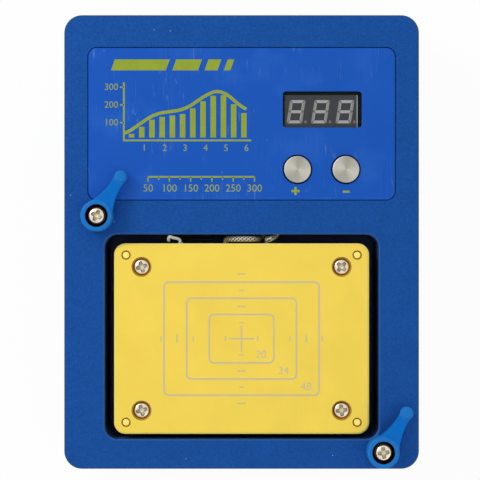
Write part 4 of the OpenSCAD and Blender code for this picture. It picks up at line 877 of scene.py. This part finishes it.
# clamp springs and levers
coilShape = {"mean": 2.5, "wire": 0.29, "turns": 4.0, "flatEnds": 0.16, "endRise": 0.12, "keep": 0.56,
             "steps": 180, "sides": 14}
for end in ("rear", "front"):
    low, high = boxMm(end + "_clamp_spring")
    pivot = middleOf(end + "_clamp_screw")
    # round wire carried along a helix whose end turns lie nearly flat
    t = np.linspace(0, 1, coilShape["steps"])
    turn = 2 * np.pi * coilShape["turns"] * t[:, None]
    ends, wire, endRise = coilShape["flatEnds"], coilShape["wire"], coilShape["endRise"]
    endsUp = endRise * (np.minimum(t / ends, 1) + np.maximum((t - 1 + ends) / ends, 0))
    inner = high[2] - low[2] - 2 * wire - 2 * endRise
    lift = low[2] + wire + endsUp + inner * np.clip((t - ends) / (1 - 2 * ends), 0, 1)
    outwards, upwards = circle(coilShape["sides"])
    reach = coilShape["mean"] + wire * outwards
    points = np.stack([pivot[0] + reach * np.cos(turn), pivot[1] + reach * np.sin(turn),
                       lift[:, None] - wire * upwards], -1)
    coil = makePiece(end + "ClampCoil", gridPart(points), end + "_clamp_coil", "spring",
                     [end + "_clamp_spring"])
    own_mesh(coil)

    # moulded lever: the CAD lever's own shape on an even fine grid, smoothed so that its edges turn soft
    source = bpy.data.objects.new("leverSource", bpy.data.objects[end + "_clamp_lever"].data.copy())
    scene.collection.objects.link(source)
    source.modifiers.new("merged", "WELD").merge_threshold = leverShape["merge"] * mm
    evenGrid = source.modifiers.new("evenGrid", "REMESH")
    evenGrid.mode, evenGrid.voxel_size = "VOXEL", leverShape["grid"] * mm
    soften = source.modifiers.new("soften", "SMOOTH")
    soften.iterations = leverShape["smooth"]
    mesh = bpy.data.meshes.new_from_object(source.evaluated_get(bpy.context.evaluated_depsgraph_get()))
    mesh.name = end + "ClampLever"
    bpy.data.objects.remove(source)
    print("lever grid:", len(mesh.vertices), "points")
    mesh.polygons.foreach_set("use_smooth", np.ones(len(mesh.polygons), bool))
    place = np.empty(len(mesh.vertices) * 3)
    mesh.vertices.foreach_get("co", place)
    place = np.clip(place.reshape(-1, 3), *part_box(end + "_clamp_lever"))
    mesh.vertices.foreach_set("co", place.ravel())
    place /= mm
    # place on the lever: along the arm from the pivot, across it and up
    angle = math.radians(leverShape["angle"])
    way = np.array([math.cos(angle), math.sin(angle)])
    offPivot = place[:, :2] - pivot[:2]
    leverPlace = np.column_stack([offPivot @ way, offPivot @ np.array([-way[1], way[0]]), place[:, 2]])
    mesh.attributes.new("leverPlace", "FLOAT_VECTOR", "POINT").data.foreach_set("vector", leverPlace.ravel())
    mesh.materials.clear()
    mesh.materials.append(finishOf["lever"])
    lever = bpy.data.objects.new(end + "ClampLever", mesh)
    scene.collection.objects.link(lever)
    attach(lever, end + "_clamp")
    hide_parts(end + "_clamp_lever")
print("stage: clamps made")

# leads in the gap behind the plate, along the CAD leads' routes
leadRoutes = {
    "heater_lead_left": {
        "piece": "heaterLeadLeft", "radius": 0.88, "look": "sleeve", "slot": "glass_braid", "route": [
        (-5, -2.7, 29.45), (-5, -1.05, 29.45), (-4.6, 0.85, 29.85), (-3.6, 0.95, 31.65), (-1.6, 0.95, 33.4),
        (1.2, 0.95, 34), (3.8, 0.95, 33.2), (5, 0.95, 30), (6, 1.35, 27), (10, 4.75, 25), (18.533, 4.95, 21),
        (24.533, 4.95, 16.6), (26.933, 5.35, 15), (26.933, 7.5, 14.6)]},
    "heater_lead_right": {
        "piece": "heaterLeadRight", "radius": 0.88, "look": "sleeve", "slot": "glass_braid", "route": [
        (8, -2.7, 29.45), (8, -1.05, 29.45), (8, 0.85, 29.85), (8.1, 0.95, 32), (9, 1.05, 33.2),
        (10.6, 1.95, 31), (13, 4.75, 29.4), (22.533, 4.95, 26), (30.533, 4.95, 18.6), (32.133, 5.25, 15.4),
        (32.133, 7.5, 14.6)]},
    "probe_lead": {
        "piece": "probeLead", "radius": 0.49, "look": "probeWire", "slot": "white_lead", "route": [
        (-19, 0.1, 33.5), (-19.6, 0.95, 33.8), (-21.2, 1.35, 34.4), (-22.4, 1.65, 34.8), (-22.7, 0.55, 33),
        (-22, 0.95, 29), (-17, 0.95, 26), (-9, 0.95, 25), (-6, 4.15, 24), (2.167, 4.75, 20),
        (10.167, 4.95, 14.8), (12.167, 5.35, 13.8), (12.167, 7.3, 13.6)]},
}


def leadPart(route, radius, perSegment=8, sides=16):
    # round section carried along a smooth curve through the route's points, turned as little as possible
    p = np.array(route, float)
    p = np.concatenate([p[:1], p, p[-1:]])
    t = np.linspace(0, 1, perSegment, endpoint=False)[None, :, None]
    a, b, c, d = (p[k:len(p) - 3 + k][:, None, :] for k in range(4))
    bend, twist = 2 * a - 5 * b + 4 * c - d, 3 * b - a - 3 * c + d
    curve = 0.5 * (2 * b + (c - a) * t + bend * t ** 2 + twist * t ** 3)
    curve = np.concatenate([curve.reshape(-1, 3), p[-1:]])
    heading = np.gradient(curve, axis=0)
    heading /= np.linalg.norm(heading, axis=1)[:, None]
    normal = np.zeros_like(curve)
    across = np.array([0.0, 0.0, 1.0])
    for k, way in enumerate(heading):
        across = across - way * (across @ way)
        across /= np.linalg.norm(across)
        normal[k] = across
    other = np.cross(heading, normal)
    outwards, upwards = (part[None, :, None] for part in circle(sides))
    points = curve[:, None] + radius * (outwards * normal[:, None] + upwards * other[:, None])
    length = np.concatenate([[0], np.cumsum(np.linalg.norm(np.diff(curve, axis=0), axis=1))])
    return gridPart(points), length, sides


for name, lead in leadRoutes.items():
    part, length, sides = leadPart(lead["route"], lead["radius"])
    piece = makePiece(lead["piece"], part, "base", lead["look"], [name])
    # map round and along the sleeve, along counted in circumferences
    c = np.tile(np.arange(sides), len(length) - 1)
    r = np.repeat(np.arange(len(length) - 1), sides)
    along = length / (2 * np.pi * lead["radius"])
    u = np.stack([c, c + 1, c + 1, c], -1) / sides
    v = np.stack([along[r], along[r], along[r + 1], along[r + 1]], -1)
    flatMap = np.zeros((len(piece.data.loops), 2))
    flatMap[:u.size] = np.stack([u, v], -1).reshape(-1, 2)
    piece.data.uv_layers.new(name="sleeve").data.foreach_set("uv", flatMap.ravel())
print("stage: leads made")

# printed marks on the panel: a heating chart, a scale, slanted bars and the key signs
printSet = {
    "thick": 0.02, "over": 0.001, "rule": 0.55, "tick": 0.4, "figure": 2.9,
    "chartAt": (-36.5, 31.5), "chartSize": (38.0, 16.5), "axisOver": 1.5,
    "bars": 12, "barWidth": 1.7, "barPhase": 0.75, "barFoot": 0.9, "barGap": 1.3,
    "curve": 1.0, "curveSteps": 60, "curveSmooth": 9, "tickLong": 1.2, "levelsAt": 3.9, "timesAt": 2.4,
    "heat": np.array([[0, 0.1], [0.25, 0.5], [0.5, 0.58], [0.7, 0.9], [0.8, 0.95], [1.0, 0.55]]),
    "scaleAt": (-29.0, 20.2), "scalePitch": 6.6, "scaleTicks": (1.5, 0.9),
    "scaleFigure": 3.2, "scaleFiguresAt": 3.6,
    "slantAt": (-40.5, 53.2), "slantTall": 3.4, "slantLean": 0.36,
    "slantRuns": ((0.0, 17.0), (19.0, 8.0), (29.0, 4.0), (35.0, 2.0)),
    "signs": {"plus": ((16.7, 15.8), 2.5, 0.74), "minus": ((32.4, 15.6), 2.1, 0.64)},
}
p = printSet
panelTop = boxMm("control_panel")[1][2]
inkParts, rule, figures = flatMarks(panelTop, p["thick"])
cx, cy = p["chartAt"]
wide, tall = p["chartSize"]


def heatLevel(x):
    # straight runs between the chart's turning points
    return np.interp(x, p["heat"][:, 0], p["heat"][:, 1])


rule([(cx, cy + tall + p["axisOver"]), (cx, cy), (cx + wide + p["axisOver"], cy)], p["rule"])
for x in (np.arange(p["bars"]) + p["barPhase"]) / p["bars"]:
    barX = cx + wide * x
    rule([(barX, cy + p["barFoot"]), (barX, cy + tall * heatLevel(x) - p["barGap"])], p["barWidth"])
# the curve over the bars is the same level with its corners averaged away
curveX = np.linspace(0.0, 1.0, p["curveSteps"])
padded = np.pad(heatLevel(curveX), p["curveSmooth"] // 2, mode="edge")
curveY = np.convolve(padded, np.ones(p["curveSmooth"]) / p["curveSmooth"], mode="valid")
rule(np.stack([cx + wide * curveX, cy + tall * curveY], -1), p["curve"], p["over"])
levels = [(100 * k, cy + tall * k / 3) for k in (1, 2, 3)]
for degrees, y in levels:
    rule([(cx - p["tickLong"], y), (cx, y)], p["tick"])
for degrees, y in levels:
    figures(degrees, p["figure"], cx - p["levelsAt"], y)
for minutes in range(1, 7):
    figures(minutes, p["figure"], cx + wide * minutes / 6, cy - p["timesAt"])
sx, sy = p["scaleAt"]
pitch = p["scalePitch"]
rule([(sx, sy), (sx + 5 * pitch, sy)], p["rule"])
for k in range(11):
    x = sx + pitch * k / 2
    rule([(x, sy), (x, sy - p["scaleTicks"][k % 2])], p["tick"])
for k in range(6):
    figures(50 + 50 * k, p["scaleFigure"], sx + pitch * k, sy - p["scaleFiguresAt"])
for start, length in p["slantRuns"]:
    lean = p["slantTall"] * p["slantLean"]
    outline = np.array([(start, 0), (start + length, 0), (start + length + lean, p["slantTall"]),
                        (start + lean, p["slantTall"])])
    corners = np.column_stack([outline + p["slantAt"], np.full(4, panelTop)])
    inkParts.append(gridPart(np.stack([corners, corners + (0, 0, p["thick"])])))
for (x, y), size, width in p["signs"].values():
    rule([(x - size / 2, y), (x + size / 2, y)], width)
(x, y), size, width = p["signs"]["plus"]
rule([(x, y - size / 2), (x, y + size / 2)], width, p["over"])
makePiece("panelPrint", joined(inkParts), "base", "ink")

# etched guide on the plate: nested board outlines, a centre cross and rules with figures
etchSet = {"thick": 0.012, "over": 0.001, "line": 0.55, "outlines": ((20, 15), (34, 25), (48, 35)),
           "corner": 1.5, "figure": 3.4, "figureIn": (4.0, 2.6), "cross": 4.0, "crossLine": 0.45,
           "tick": 0.4, "tickHalf": (1.3, 0.8), "pitch": 5.0, "reach": (28, 21)}
e = etchSet
low, high = boxMm("heating_plate")
etchParts, rule, figures = flatMarks(high[2], e["thick"])
middle = np.array([0.0, (low[1] + high[1]) / 2])
for across, deep in e["outlines"]:
    rule(roundedPath(across, deep, e["corner"], middle), e["line"], closed=True)
    x, y = middle + np.array([across, -deep]) / 2 - np.array(e["figureIn"]) * (1, -1)
    figures(across, e["figure"], x, y)
for way, reach in zip(np.eye(2), e["reach"]):
    rule([middle - way * e["cross"], middle + way * e["cross"]], e["crossLine"], e["over"] * way[1])
    count = int(reach // e["pitch"])
    for k in range(-count, count + 1):
        start = middle + way * e["pitch"] * k
        half = way[::-1] * e["tickHalf"][k % 2]
        if k:
            rule([start - half, start + half], e["tick"], 2 * e["over"])
makePiece("plateEtching", joined(etchParts), "base", "etch")

# on and off signs on the rocker: a ring and a bar on its two sloping faces
rockerSet = {"pivot": (20.0, 65.15, 19.75), "tilt": 6.0, "rise": 4.0, "slope": 6.0, "at": 4.4, "thick": 0.02,
             "line": 0.5, "ring": 1.5, "ringSteps": 40, "bar": 1.6}
k = rockerSet
ringPath = k["ring"] * np.stack(circle(k["ringSteps"]), -1)
barPath = [(0, -k["bar"]), (0, k["bar"])]
tilt = math.radians(k["tilt"])
tilted = np.array([[math.cos(tilt), math.sin(tilt)], [-math.sin(tilt), math.cos(tilt)]])
signParts = []
for side, path in ((-1, ringPath), (1, barPath)):
    vertices, faces = stroke(path, k["line"], 0.0, k["thick"], closed=side < 0)
    lean = math.radians(k["slope"] * side)
    along = np.array([math.cos(lean), math.sin(lean)])
    outward = np.array([-math.sin(lean), math.cos(lean)])
    spot = np.array([side * k["at"], k["rise"] + k["at"] * math.tan(math.radians(k["slope"]))])
    local = spot + vertices[:, :1] * along + vertices[:, 2:] * outward
    placed = np.column_stack([local @ tilted, vertices[:, 1]]) + k["pivot"]
    signParts.append((placed, [face[::-1] for face in faces]))
makePiece("rockerSigns", joined(signParts), "rocker", "mark")
print("stage: prints and etching made")

# floor, lamps and world
floorSet = {"size": 3.0, "colour": (0.9, 0.9, 0.9, 1.0), "ownLight": 0.95}
white = (1.0, 1.0, 1.0, 1.0)
floorMesh = bpy.data.meshes.new("floor")
floorCorners = np.array([(-1, -1, 0), (1, -1, 0), (1, 1, 0), (-1, 1, 0)]) * floorSet["size"] / 2
floorMesh.from_pydata(floorCorners.tolist(), [], [(0, 1, 2, 3)])
floor = bpy.data.objects.new("floor", floorMesh)
scene.collection.objects.link(floor)
floor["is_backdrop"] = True


def seenDirectly(tree):
    # one for rays from the camera, from gloss and through glass, else nothing
    path = node("LightPath", tree=tree).outputs
    plain = calc("MAXIMUM", path["Is Camera Ray"], path["Is Glossy Ray"])
    return calc("MAXIMUM", plain, path["Is Transmission Ray"])


paper = bpy.data.materials.new("paper")
paper.use_nodes = True
tree = paper.node_tree
tree.nodes.clear()
matte = node("BsdfDiffuse", {"Color": floorSet["colour"]}, tree)
glow = node("Emission", {"Color": white, "Strength": 1.0}, tree)
share = times(seenDirectly(tree), floorSet["ownLight"])
blend = node("MixShader", {0: share, 1: matte.outputs[0], 2: glow.outputs[0]})
node("OutputMaterial", {0: blend.outputs[0]})
floorMesh.materials.append(paper)

worldLevel = 0.64  # light that the pale surround gives, where it isn't seen itself
world = bpy.data.worlds.new("studio")
world.use_nodes = True
scene.world = world
tree = world.node_tree
tree.nodes.clear()
level = band(seenDirectly(tree), 0.0, 1.0, worldLevel, 1.0, kind="LINEAR")
sky = node("Background", {"Color": white, "Strength": level})
node("OutputWorld", {0: sky.outputs[0]})

lampSet = {"keyLamp": {"at": (-0.55, 0.42, 0.7), "size": 0.4, "power": 3.4},
           "fillLamp": {"at": (0.5, -0.6, 0.6), "size": 0.9, "power": 0.6}}
for name, lamp in lampSet.items():
    data = bpy.data.lights.new(name, "AREA")
    data.shape, data.size, data.energy = "DISK", lamp["size"], lamp["power"]
    made = bpy.data.objects.new(name, data)
    made.location = lamp["at"]
    # turned to face the middle of the floor
    x, y, z = -np.array(lamp["at"])
    made.rotation_euler = (math.acos(-z / math.hypot(x, y, z)), 0, math.atan2(x, -y) + math.pi)
    scene.collection.objects.link(made)
print("stage: floor and light set")

low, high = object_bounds()
